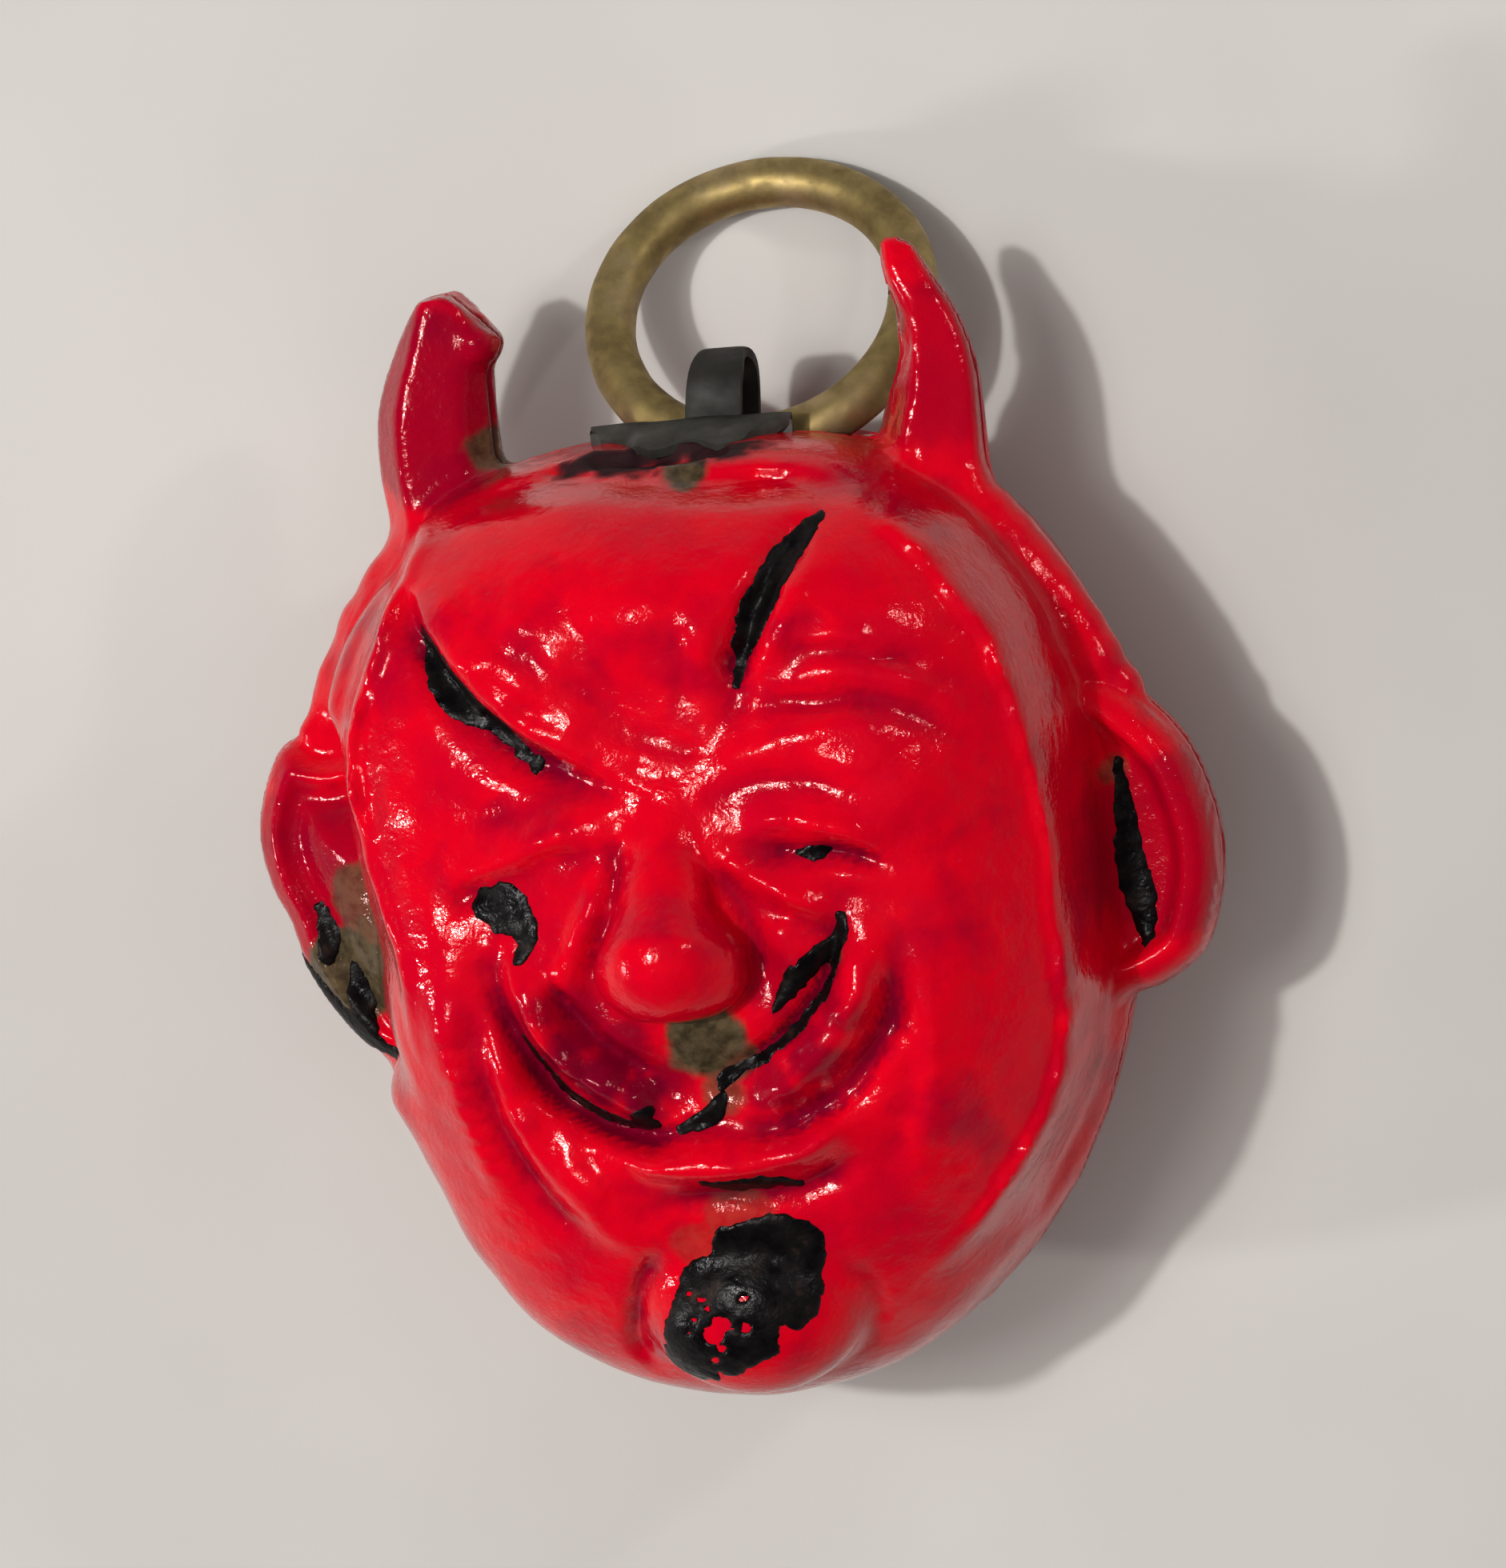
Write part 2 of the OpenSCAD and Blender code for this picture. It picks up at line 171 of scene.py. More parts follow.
MOUNDS = [
    (-0.9, 6.9, 3.1, 1.9, -8, 0.85), (-0.05, 6.4, 0.8, 0.7, 0, 0.15),
    (-3.1, 5.8, 1.4, 1.1, -50, 0.20), (0.9, 5.75, 0.4, 0.5, 0, 0.09),
    (-2.45, 6.1, 0.4, 0.3, -30, 0.08), (-1.8, 5.3, 0.3, 0.25, -40, 0.07),
    (4.0, 6.3, 2.0, 1.7, -35, 0.55), (-0.2, 0.6, 2.6, 1.5, 90, 0.30),
    (-4.7, -1.6, 3.2, 1.1, 98, 0.46), (4.9, -1.2, 3.4, 1.7, 88, 0.44),
    (4.2, 2.7, 1.3, 0.9, -15, 0.34), (-2.4, 2.0, 1.3, 0.6, 18, 0.24),
    (-4.6, 2.6, 1.2, 1.7, 0, 0.08), (3.0, 3.4, 2.0, 0.9, 16, 0.20),
    (-2.2, 0.3, 0.6, 1.3, -25, 0.12), (2.3, 0.3, 0.6, 0.9, 20, 0.14), (2.9, 1.9, 1.2, 0.6, -8, 0.20),
    (-0.3, -2.9, 2.4, 0.8, 0, -0.40), (0.6, -4.3, 2.3, 0.6, 8, 0.24),
    (4.5, -4.4, 0.9, 1.5, -10, 0.12), (-2.3, -5.0, 1.3, 0.6, -52, 0.14),
]

STROKES = [
    # grooves under the two brows, with the forehead's swell over them
    ([(-5.0, 7.2), (-4.5, 6.3), (-3.75, 5.2), (-3.0, 4.45), (-1.8, 3.6), (-1.0, 3.15)], 1.0, 0.2, 0.42),
    ([(-4.9, 6.5), (-4.5, 5.7), (-4.0, 4.9), (-3.3, 4.2), (-2.4, 3.4), (-1.3, 2.9)], 0.34, 0.45, -0.42),
    ([(3.1, 7.6), (2.4, 6.75), (1.9, 5.9), (1.6, 5.1), (1.45, 4.4)], 0.32, 0.36, -0.42),
    ([(3.0, 6.7), (2.55, 5.8), (2.1, 5.1)], 0.25, 0.7, 0.16),
    ([(2.3, 7.2), (1.6, 6.2), (1.2, 5.2), (1.1, 4.5)], 0.3, 0.7, 0.12),
    # where the forehead meets the hood at the top
    ([(-4.6, 7.7), (-3.9, 8.05), (-2.6, 8.3), (-1.0, 8.36), (0.7, 8.15), (2.5, 8.05), (4.0, 7.75)],
     0.30, 0.20, -0.36),
    # wrinkles fanned over the forehead from the root of the nose
    ([(-0.9, 4.3), (-1.7, 5.0), (-2.6, 5.75)], 0.16, 0.16, -0.045),
    ([(-0.6, 4.5), (-1.2, 5.6), (-1.75, 6.5)], 0.16, 0.16, -0.035),
    ([(-1.3, 3.8), (-2.2, 4.3), (-3.0, 5.0)], 0.16, 0.16, -0.045),
    ([(0.45, 4.3), (0.55, 5.2), (0.5, 5.9)], 0.18, 0.18, -0.06),
    ([(-0.6, 3.85), (0.15, 3.6), (0.8, 3.4)], 0.28, 0.26, -0.08),
    ([(-0.7, 3.3), (-0.1, 3.05), (0.5, 3.05)], 0.18, 0.18, -0.05),
    # folds over the right brow
    ([(2.6, 5.15), (3.4, 5.2), (4.3, 4.95), (5.3, 4.9)], 0.18, 0.22, -0.09),
    ([(2.6, 5.75), (3.1, 5.45), (3.6, 5.5), (4.3, 5.25)], 0.16, 0.14, 0.07),
    ([(2.2, 4.55), (3.4, 4.85), (4.5, 4.65), (5.4, 4.0)], 0.18, 0.34, 0.12),
    ([(1.7, 4.25), (3.0, 4.3), (4.4, 4.1), (5.5, 3.3)], 0.24, 0.26, -0.10),
    ([(1.1, 3.2), (2.1, 3.55), (3.4, 3.85), (4.7, 3.6)], 0.22, 0.34, 0.10),
    ([(0.9, 2.55), (1.9, 2.85), (3.0, 2.8), (3.6, 2.6)], 0.26, 0.24, -0.10),
    # lids
    ([(1.4, 1.9), (2.1, 2.1), (2.8, 2.0), (3.6, 1.75), (4.2, 1.3)], 0.30, 0.18, 0.20),
    ([(1.7, 1.55), (2.7, 1.5), (3.4, 1.4), (4.1, 1.0)], 0.18, 0.20, -0.20),
    ([(1.9, 1.05), (2.8, 0.95), (3.7, 1.0), (4.6, 0.9)], 0.20, 0.40, 0.12),
    ([(-4.1, 1.2), (-2.9, 1.75), (-2.2, 2.1), (-1.5, 2.25)], 0.34, 0.30, 0.12),
    ([(-4.5, 0.5), (-4.0, 1.05), (-3.0, 1.4), (-2.1, 1.65), (-1.2, 1.7)], 0.22, 0.24, -0.14),
    ([(-1.0, 2.85), (-2.0, 2.7), (-3.0, 2.45), (-4.3, 2.8)], 0.30, 0.30, -0.06),
    # sides of the nose and the folds that run down from them
    ([(-1.2, 1.3), (-1.65, 0.45), (-2.3, -0.6), (-2.55, -1.1)], 0.50, 0.30, 0.26),
    ([(-0.9, 2.2), (-1.05, 1.2), (-1.35, 0.3), (-1.9, -0.9)], 0.22, 0.22, -0.18),
    ([(0.75, 1.6), (1.7, 1.0), (2.4, 0.6), (3.2, 0.25)], 0.24, 0.20, 0.18),
    ([(0.7, 1.7), (1.1, 0.9), (1.45, 0.0), (1.6, -1.2)], 0.24, 0.26, -0.18),
    ([(1.9, 0.25), (2.15, -0.3), (2.3, -0.8)], 0.4, 0.4, 0.14),
    ([(1.5, 0.6), (2.4, 0.15), (3.1, -0.1)], 0.18, 0.18, -0.08),
    # the two rolls of the upper lip
    ([(-3.25, 0.0), (-3.0, -1.1), (-2.45, -2.05), (-1.75, -2.8), (-1.0, -3.3), (-0.4, -3.45)],
     0.55, 0.28, 0.60),
    ([(-3.0, -0.9), (-2.75, -1.7), (-2.2, -2.4), (-1.6, -2.8), (-1.1, -3.05)], 0.2, 0.2, 0.16),
    ([(-2.65, -0.4), (-2.1, -1.4), (-1.5, -2.1), (-0.8, -2.65)], 0.2, 0.2, -0.22),
    ([(-2.3, -0.4), (-1.75, -1.35), (-1.1, -1.95), (-0.4, -2.45)], 0.26, 0.2, 0.12),
    ([(-3.75, -0.5), (-3.4, -1.8), (-2.7, -2.98), (-1.75, -3.65), (-0.9, -3.85), (0.0, -3.7)],
     0.2, 0.26, -0.46),
    ([(3.6, -0.2), (3.25, -1.5), (2.55, -2.4), (1.75, -3.0), (0.95, -3.35)], 0.36, 0.50, 0.50),
    ([(3.05, 0.1), (2.75, -0.95), (2.0, -1.85), (1.2, -2.4), (0.6, -2.8)], 0.18, 0.18, -0.34),
    ([(4.15, -0.4), (3.85, -1.7), (3.2, -2.8), (2.2, -3.6), (1.2, -3.85), (0.3, -3.75)],
     0.30, 0.34, -0.30),
    ([(2.3, -0.4), (2.0, -1.1), (1.4, -1.7)], 0.24, 0.24, 0.10),
    ([(0.05, -2.2), (0.2, -3.0), (0.4, -3.5)], 0.25, 0.25, 0.14),
    # lower lip and the hollow under it
    ([(-1.8, -4.2), (-0.4, -4.45), (0.8, -4.5), (1.9, -4.3), (2.5, -3.9), (2.85, -3.4)],
     0.40, 0.24, 0.28),
    ([(-0.7, -5.0), (0.4, -5.05), (1.7, -5.05), (2.8, -4.5)], 0.20, 0.30, -0.24),
    # cheek folds
    ([(-3.65, -1.5), (-3.6, -2.9), (-3.15, -4.2), (-2.35, -5.35), (-1.5, -6.0)], 0.45, 0.34, 0.20),
    ([(-4.05, -0.4), (-4.15, -1.9), (-4.0, -3.4), (-3.35, -4.8), (-2.3, -5.9)], 0.32, 0.34, -0.20),
    ([(-4.95, -0.8), (-4.85, -2.0), (-4.55, -3.5), (-4.2, -5.1)], 0.45, 0.30, 0.16),
    ([(-2.6, -3.6), (-2.5, -4.4), (-1.9, -5.1)], 0.25, 0.3, 0.10),
    ([(4.5, -0.8), (4.6, -2.2), (4.4, -3.6), (4.05, -4.8)], 0.5, 0.34, 0.10),
    ([(4.15, -1.3), (4.2, -2.5), (3.9, -3.7), (3.4, -4.8)], 0.30, 0.34, -0.10),
    ([(5.6, 2.2), (5.9, 0.6), (5.7, -1.2), (5.3, -2.6)], 0.5, 0.5, -0.05),
    # arcs beside the chin
    ([(-1.1, -6.0), (-1.75, -7.0), (-2.1, -8.1), (-1.9, -8.8)], 0.26, 0.18, -0.22),
    ([(2.5, -6.6), (2.75, -7.4), (2.6, -8.2)], 0.18, 0.28, -0.14),
]

# Short creases that break up the highlights: x, y, half length, turn in degrees.
NICKS = [
    (-4.7, -1.9, 0.35, 5), (-4.65, -2.3, 0.35, -8), (-4.6, -2.7, 0.4, 6), (-4.55, -3.1, 0.35, -5),
    (-4.5, -3.5, 0.35, 10), (-4.4, -3.9, 0.3, -10), (-4.3, -4.3, 0.3, 8), (-2.3, 2.2, 0.2, 70),
    (-1.8, 2.3, 0.2, 60), (2.4, 2.2, 0.2, 80), (2.75, 2.15, 0.2, 95), (3.1, 2.05, 0.2, 80),
    (2.6, -3.6, 0.3, 40), (2.9, -3.3, 0.3, 60), (-1.9, 4.3, 0.25, -40), (-1.4, 3.9, 0.3, -30),
    (4.4, -4.3, 0.3, 80), (4.55, -4.7, 0.3, 100),
]


def turned(x, y, mid_x, mid_y, turn):
    """Places as seen from a centre, on axes turned by so many degrees."""
    c, s = math.cos(math.radians(turn)), math.sin(math.radians(turn))
    return (x - mid_x) * c + (y - mid_y) * s, (y - mid_y) * c - (x - mid_x) * s


def relief(x, y):
    """How far the moulding stands proud of the plain dome over x, y."""
    r = np.zeros_like(x)
    for mid_x, mid_y, a, b, turn, height in MOUNDS:
        u, v = turned(x, y, mid_x, mid_y, turn)
        r += height * np.exp(-((u / a) ** 2 + (v / b) ** 2) ** 1.25)
    out = share(x, y)
    r *= 1 - np.clip(out, 0, 1) ** 6
    for path, left, right, height in STROKES:
        d, side, place = along(curve(path), x, y)
        width = np.where(side > 0, left, right)
        fade = ease(place / 0.22) * ease((1 - place) / 0.22)
        wander = 1 + 0.25 * noise(len(path) + int(abs(path[0][0]) * 10), 0.5, x, y)
        r += height * wander * (0.25 + 0.75 * fade) * np.exp(-(d / width) ** 2) * (d < 3 * width)
    for mid_x, mid_y, half, turn in NICKS:
        u, v = turned(x, y, mid_x, mid_y, turn)
        r -= 0.045 * np.exp(-(u / half) ** 4 - (v / 0.09) ** 2)
    # the mask of the face stands proud of the hood round it, with a crisp edge at the temples
    for edge, facing, last in ((EDGE_LEFT, 1, 0.66), (EDGE_RIGHT, -1, 0.97)):
        d, side, place = along(curve(edge), x, y)
        inner = side * facing * d + 0.05 * noise(3, 0.9, x, y) + 0.012 * noise(4, 0.3, x, y)
        crisp = ease((last - place) / 0.2) * ease((place - 0.02) / 0.12)
        r += crisp * (0.20 * np.tanh(inner / 0.14) - 0.05) * np.exp(-np.maximum(inner, 0) / 1.4)
        broken = 1 + 0.5 * noise(8, 0.5, x, y)
        r += 0.24 * crisp * broken * np.exp(-((inner - 0.12) / 0.20) ** 2)
        r -= 0.16 * crisp * np.exp(-((inner + 0.45) / 0.30) ** 2)
    # the side of the head falls away to the left ear
    d, side, _ = along(curve(EDGE_LEFT), x, y)
    r -= 0.85 * ease(-side * d - 0.25) * ease((y + 3.6) / 1.4) * ease((4.4 - y) / 1.4)
    # uneven hood outside it
    r += ease((out - 0.86) / 0.08) * 0.05 * noise(5, 0.9, x, y)
    pits = 0.022 * noise(6, 0.45, x, y) + 0.012 * noise(7, 0.22, x, y)
    r += pits * (1 - 0.8 * ease((out - 0.75) / 0.2))
    return r


# ---------------------------------------------------------------- horns, ears, nose, chin
def horn(x, y, z, spine, facets):
    """A faceted horn: spine rows are y, middle x, half width; facets are normal x, normal z, share."""
    rows = curve(spine, 8)
    middle = np.interp(y, rows[:, 0], rows[:, 1])
    half = np.interp(y, rows[:, 0], rows[:, 2])
    f = None
    for nx, nz, part in facets:
        size = math.hypot(nx, nz)
        plane = half * part - ((x - middle) * nx + z * nz) / size
        f = plane if f is None else blend_min(f, plane, 0.16)
    return f


RIGHT_HORN = [(6.5, 4.1, 1.4), (7.6, 4.3, 1.25), (8.5, 4.45, 1.1), (9.4, 4.58, 0.96), (10.1, 4.66, 0.80),
              (10.9, 4.56, 0.65), (11.7, 4.25, 0.52), (12.2, 4.1, 0.40), (12.5, 4.02, 0.30)]
RIGHT_FACETS = [(1, 0.1, 1.0), (0.35, 0.94, 0.80), (-0.86, 0.5, 0.72), (-1, -0.1, 1.0), (0, -1, 0.85),
                (0.7, -0.7, 0.95), (-0.7, -0.7, 0.95)]
LEFT_HORN = [(6.5, -5.1, 1.35), (7.5, -5.15, 1.27), (8.5, -5.27, 1.24), (9.5, -5.28, 1.20),
             (10.2, -5.18, 1.12), (11.0, -4.98, 0.98), (12.2, -4.72, 0.80)]
LEFT_FACETS = [(-1, 0.0, 1.0), (-0.82, 0.57, 0.86), (0.22, 0.97, 0.78), (0.84, 0.54, 0.86),
               (1, 0.0, 1.0), (0, -1, 0.85), (0.7, -0.7, 0.95), (-0.7, -0.7, 0.95)]

LEFT_EAR = [(-6.2, 3.6), (-7.9, 3.25), (-8.75, 3.45), (-9.25, 2.9), (-9.6, 1.7), (-9.45, 0.6),
            (-9.15, -0.1), (-8.9, -1.0), (-8.35, -2.0), (-7.6, -2.85), (-6.6, -3.3)]
RIGHT_EAR = [(6.4, 3.9), (7.4, 3.75), (8.2, 3.2), (8.95, 2.3), (9.35, 1.2), (9.48, 0.2), (9.35, -0.8),
             (8.95, -1.8), (8.2, -2.35), (7.5, -2.6), (6.6, -3.4)]


def ear(x, y, z, outline, left):
    """A flat ear with a rolled rim: the right one is scooped inside it, and the left one rises inward."""
    d, side, _ = along(curve(outline), x, y)
    inside = np.where((side > 0) == left, d, -d)
    roll = np.sqrt(np.maximum(1 - (1 - np.clip(inside / 0.62, 0, 1)) ** 2, 0))
    if left:
        up = 0.25 + 0.75 * roll + 0.7 * ease((inside - 0.7) / 1.6)
        up += 0.12 * np.exp(-((inside - 0.5) / 0.14) ** 2)
        up -= 0.12 * np.exp(-((inside - 0.95) / 0.25) ** 2)
    else:
        up = 0.25 + 0.85 * roll - 0.55 * ease((inside - 0.62) / 0.35)
    down = -0.2 - 0.85 * roll
    f = np.minimum(up - z, z - down)
    return np.minimum(f, inside + 0.02)


# The hood's rim along the seam: x, y, z, radius.
HOOD_RIM = [
    [(-5.0, 7.65, 0.3, 0.40), (-5.9, 6.85, 0.35, 0.45), (-6.9, 5.75, 0.35, 0.47),
     (-7.65, 4.55, 0.35, 0.45), (-8.1, 3.6, 0.3, 0.44), (-8.4, 2.6, 0.2, 0.4)],
    [(5.0, 7.75, 0.3, 0.34), (5.75, 6.85, 0.35, 0.38), (6.4, 5.8, 0.35, 0.42),
     (7.05, 4.8, 0.35, 0.45), (7.5, 4.0, 0.3, 0.45), (7.9, 3.2, 0.2, 0.4)],
]

NOSE = [  # x, y, z, radius of each end
    ((-0.05, 2.7, 5.35, 0.60), (-0.10, 0.9, 6.05, 0.84)),
    ((-0.10, 0.9, 6.05, 0.84), (-0.10, -0.25, 6.65, 1.22)),
]
WINGS = [(-0.72, -0.58, 6.3, 0.80), (0.56, -0.58, 6.35, 0.82)]


def cone(x, y, z, a, b):
    """A capsule whose radius changes from one end to the other."""
    pa, pb = np.array(a[:3]), np.array(b[:3])
    s = pb - pa
    t = np.clip(((x - pa[0]) * s[0] + (y - pa[1]) * s[1] + (z - pa[2]) * s[2]) / (s @ s), 0, 1)
    gap = np.sqrt((x - pa[0] - t * s[0]) ** 2 + (y - pa[1] - t * s[1]) ** 2 + (z - pa[2] - t * s[2]) ** 2)
    return a[3] + (b[3] - a[3]) * t - gap


def sculpt():
    """The solid head as a field on a grid, positive inside. Returns the three axes and the field."""
    xs, ys, zs = [(np.arange(round(lo / CELL), round(hi / CELL)) * CELL).astype(np.float32)
                  for lo, hi in GRID]
    gx, gy = np.meshgrid(xs, ys, indexing="ij")
    r = np.maximum(share(gx, gy), 1e-4)
    rx, ry = np.gradient(r, CELL, CELL)
    steep = np.sqrt(rx ** 2 + ry ** 2)
    depth = np.where(zs >= 0, FRONT_DEPTH, BACK_DEPTH)
    level = np.maximum(np.abs(zs) / depth, 1e-4)
    p = swell(gy)[:, :, None]
    r, steep = r[:, :, None], steep[:, :, None]
    g = (r ** p + level ** p) ** (1 / p)
    slope = g ** (1 - p) * np.sqrt((r ** (p - 1) * steep) ** 2 + (level ** (p - 1) / depth) ** 2)
    f = np.clip((1 - g) / slope, -2, 2).astype(np.float32)
    f += relief(gx, gy)[:, :, None] * ease(zs / 1.3)
    round_edge = 0.05 + 0.05 * noise(9, 0.6, gx, gy)
    f += round_edge[:, :, None] * np.exp(-(zs / 0.12) ** 2)

    def region(lo, hi):
        cut = [slice(*np.searchsorted(a, (l, h))) for a, l, h in zip((xs, ys, zs), lo, hi)]
        grid = np.meshgrid(xs[cut[0]], ys[cut[1]], zs[cut[2]], indexing="ij", sparse=True)
        return tuple(cut), grid

    cut, (x, y, z) = region((-2.6, -2.8, 4.0), (2.4, 3.8, 8.5))
    nose = cone(x, y, z, *NOSE[0])
    nose = blend_max(nose, cone(x, y, z, *NOSE[1]), 0.25)
    for w in WINGS:
        nose = blend_max(nose, w[3] - ball(x, y, z, w, (1, 1, 1)), 0.5)
    f[cut] = blend_max(f[cut], nose, 0.2)

    cut, (x, y, z) = region((-2.6, -10.4, 1.0), (3.2, -5.2, 6.2))
    knob = ball(x, y, z, CHIN_AT, CHIN_SIZE)
    f[cut] = blend_max(f[cut], (1 - knob) * CHIN_SIZE[2], 0.25)

    for rim in HOOD_RIM:
        spots = np.array(rim)
        cut, (x, y, z) = region(spots[:, :3].min(0) - 0.8, spots[:, :3].max(0) + 0.8)
        roll = None
        for a, b in zip(rim[:-1], rim[1:]):
            part = cone(x, y, z, a, b)
            roll = part if roll is None else np.maximum(roll, part)
        roll += 0.09 * noise(13, 0.45, x, y)
        f[cut] = blend_max(f[cut], roll, 0.75)

    cut, (x, y, z) = region((-9.0, 6.4, -1.6), (-2.4, 12.9, 1.8))
    f_horn = horn(x, y, z, LEFT_HORN, LEFT_FACETS)
    spur = 0.44 - np.sqrt((x + 4.22) ** 2 + ((y - 10.98) * 0.9) ** 2 + (z * 0.6) ** 2)
    f_horn = blend_max(f_horn, spur, 0.15)
    chip = 0.05 * noise(11, 0.3, x, y, z)
    f_horn = blend_min(f_horn, 0.70 * (-4.62 - x) + 0.71 * (11.86 - y) + chip, 0.06)
    f_horn = blend_min(f_horn, 11.93 - y + 0.10 * (x + 5.0) + chip, 0.08)
    f_horn = blend_min(f_horn, 0.80 * (x + 5.30) + 0.60 * (11.85 - y) + chip, 0.10)
    f[cut] = blend_max(f[cut], f_horn, 0.35)

    cut, (x, y, z) = region((2.0, 6.4, -1.6), (6.6, 12.9, 1.8))
    f_horn = horn(x, y, z, RIGHT_HORN, RIGHT_FACETS)
    f_horn = blend_min(f_horn, 12.42 - y, 0.2)
    f_horn = f_horn - 0.04 * (1 + noise(12, 0.32, y, z)) * (x < 4.4)
    f[cut] = blend_max(f[cut], f_horn, 0.35)

    for outline, left in ((LEFT_EAR, True), (RIGHT_EAR, False)):
        lo, hi = (-10.0, -5.8) if left else (5.8, 10.0)
        cut, (x, y, z) = region((lo, -3.6, -1.4), (hi, 4.3, 1.8))
        plan = np.meshgrid(x.ravel(), y.ravel(), indexing="ij")
        grown = ear(plan[0][:, :, None], plan[1][:, :, None], z, outline, left)
        f[cut] = blend_max(f[cut], grown, 0.18)

    cut, (x, y, z) = region((-2.8, 7.6, 0.6), (1.8, 10.0, 3.4))
    torn = 0.16 * noise(14, 0.4, x, y, z)
    pit = (1 - ball(x, y, z, PIT_AT, PIT_SIZE)) * 0.6
    f[cut] = blend_min(f[cut], -(pit + torn), 0.05)
    f = np.minimum(f, zs + SEAM)
    return (xs, ys, zs), f


def sample(axes, f, p):
    """The field and its slope at points p."""
    corners, part = [], []
    for k, a in enumerate(axes):
        q = np.clip((p[:, k] - a[0]) / CELL, 0, len(a) - 1.001)
        i = q.astype(int)
        corners.append(i)
        part.append(q - i)
    c = np.empty((2, 2, 2, len(p)))
    for i, j, k in np.ndindex(2, 2, 2):
        c[i, j, k] = f[corners[0] + i, corners[1] + j, corners[2] + k]
    u, v, w = part
    cx = c[0] * (1 - u) + c[1] * u
    cy = cx[0] * (1 - v) + cx[1] * v
    value = cy[0] * (1 - w) + cy[1] * w
    dx = c[1] - c[0]
    dx = dx[0] * (1 - v) + dx[1] * v
    dx = dx[0] * (1 - w) + dx[1] * w
    dy = cx[1] - cx[0]
    dy = dy[0] * (1 - w) + dy[1] * w
    dz = cy[1] - cy[0]
    return value, np.stack([dx, dy, dz], 1) / CELL


def surface(axes, f):
    """Quads round the solid where f is positive: one point in each cell that the surface crosses."""
    s = f > 0
    count = np.zeros(tuple(n - 1 for n in s.shape), np.int8)
    for i, j, k in np.ndindex(2, 2, 2):
        count += s[i:s.shape[0] - 1 + i, j:s.shape[1] - 1 + j, k:s.shape[2] - 1 + k]
    live = (count > 0) & (count < 8)
    cells = np.argwhere(live)
    number = np.full(live.shape, -1, np.int64)
    number[live] = np.arange(len(cells))
    value = {c: f[tuple((cells + c).T)] for c in np.ndindex(2, 2, 2)}
    total = np.zeros((len(cells), 3))
    hits = np.zeros(len(cells))
    for axis in range(3):
        for a in value:
            if a[axis]:
                continue
            b = tuple(1 if k == axis else a[k] for k in range(3))
            crossed = (value[a] > 0) != (value[b] > 0)
            t = np.where(crossed, value[a] / np.where(crossed, value[a] - value[b], 1), 0)
            for k in range(3):
                total[:, k] += crossed * (t if k == axis else a[k])
            hits += crossed
    points = np.stack([axes[k][0] + CELL * (cells[:, k] + total[:, k] / hits) for k in range(3)], 1)
    quads = []
    for axis in range(3):
        u, v = [k for k in range(3) if k != axis]
        low = [slice(None)] * 3
        high = [slice(None)] * 3
        low[axis], high[axis] = slice(None, -1), slice(1, None)
        flips = s[tuple(low)] != s[tuple(high)]
        at = np.argwhere(flips)
        at = at[(at[:, u] > 0) & (at[:, v] > 0)]
        inside = s[tuple(at.T)]
        around = []
        for du, dv in ((-1, -1), (0, -1), (0, 0), (-1, 0)):
            q = at.copy()
            q[:, u] += du
            q[:, v] += dv
            around.append(number[tuple(q.T)])
        quad = np.stack(around, 1)
        turned = inside if axis != 1 else ~inside
        quad[~turned] = quad[~turned][:, ::-1]
        quads.append(quad)
    return points, np.concatenate(quads)


# ---------------------------------------------------------------- meshes
def smooth(mesh, sharp):
    """Shades a mesh smooth, but for edges of more than so many degrees."""
    mesh.polygons.foreach_set("use_smooth", [True] * len(mesh.polygons))
    mesh.set_sharp_from_angle(angle=math.radians(sharp))


def make(name, points, faces, body, node=None, slot=None, material=None, sharp=40):
    """A piece from points in the head frame, in mm."""
    mesh = bpy.data.meshes.new(name)
    where = (np.asarray(points, float) + HEAD) * MM
    mesh.from_pydata(where.tolist(), [], [list(map(int, f)) for f in faces])
    mesh.update()
    smooth(mesh, sharp)
    obj = bpy.data.objects.new(name, mesh)
    bpy.context.collection.objects.link(obj)
    if material:
        mesh.materials.append(material)
    if body:
        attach(obj, body)
    if node:
        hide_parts(node)
    return obj


def hollow_mesh(front):
    """The cavity of one shell: a closed low dome, WALL inside the outline."""
    sides, rings = 56, 16
    depth = (FRONT_DEPTH if front else BACK_DEPTH) - WALL
    turns = np.arange(sides) * 2 * math.pi / sides
    sign = 1 if front else -1
    rows = []
    for i in range(-1, rings):
        t = 1 if i < 0 else math.cos(math.pi / 2 * i / rings) ** 0.83
        c, s = np.cos(turns), np.sin(turns)
        n = np.where(s > 0, TOP_POWER, JAW_POWER)
        up = np.where(s > 0, CROWN, CHIN) - WALL
        reach = ((np.abs(c) / (HALF_W - WALL)) ** n + (np.abs(s) / up) ** n) ** (-1 / n) * t
        z = -0.6 if i < 0 else depth * max(1 - t ** 2.4, 0) ** (1 / 2.4)
        rows.append(np.stack([MID_X + reach * c, reach * s, np.full(sides, sign * z)], 1))
    points = np.vstack(rows + [[(MID_X, 0, sign * depth)]])
    faces = [list(range(sides))[::-1]]
    for i in range(rings):
        for j in range(sides):
            k = (j + 1) % sides
            faces.append([i * sides + j, i * sides + k, (i + 1) * sides + k, (i + 1) * sides + j])
    top = rings * sides
    faces += [[top + j, top + (j + 1) % sides, len(points) - 1] for j in range(sides)]
    if not front:
        faces = [f[::-1] for f in faces]
    return points, faces


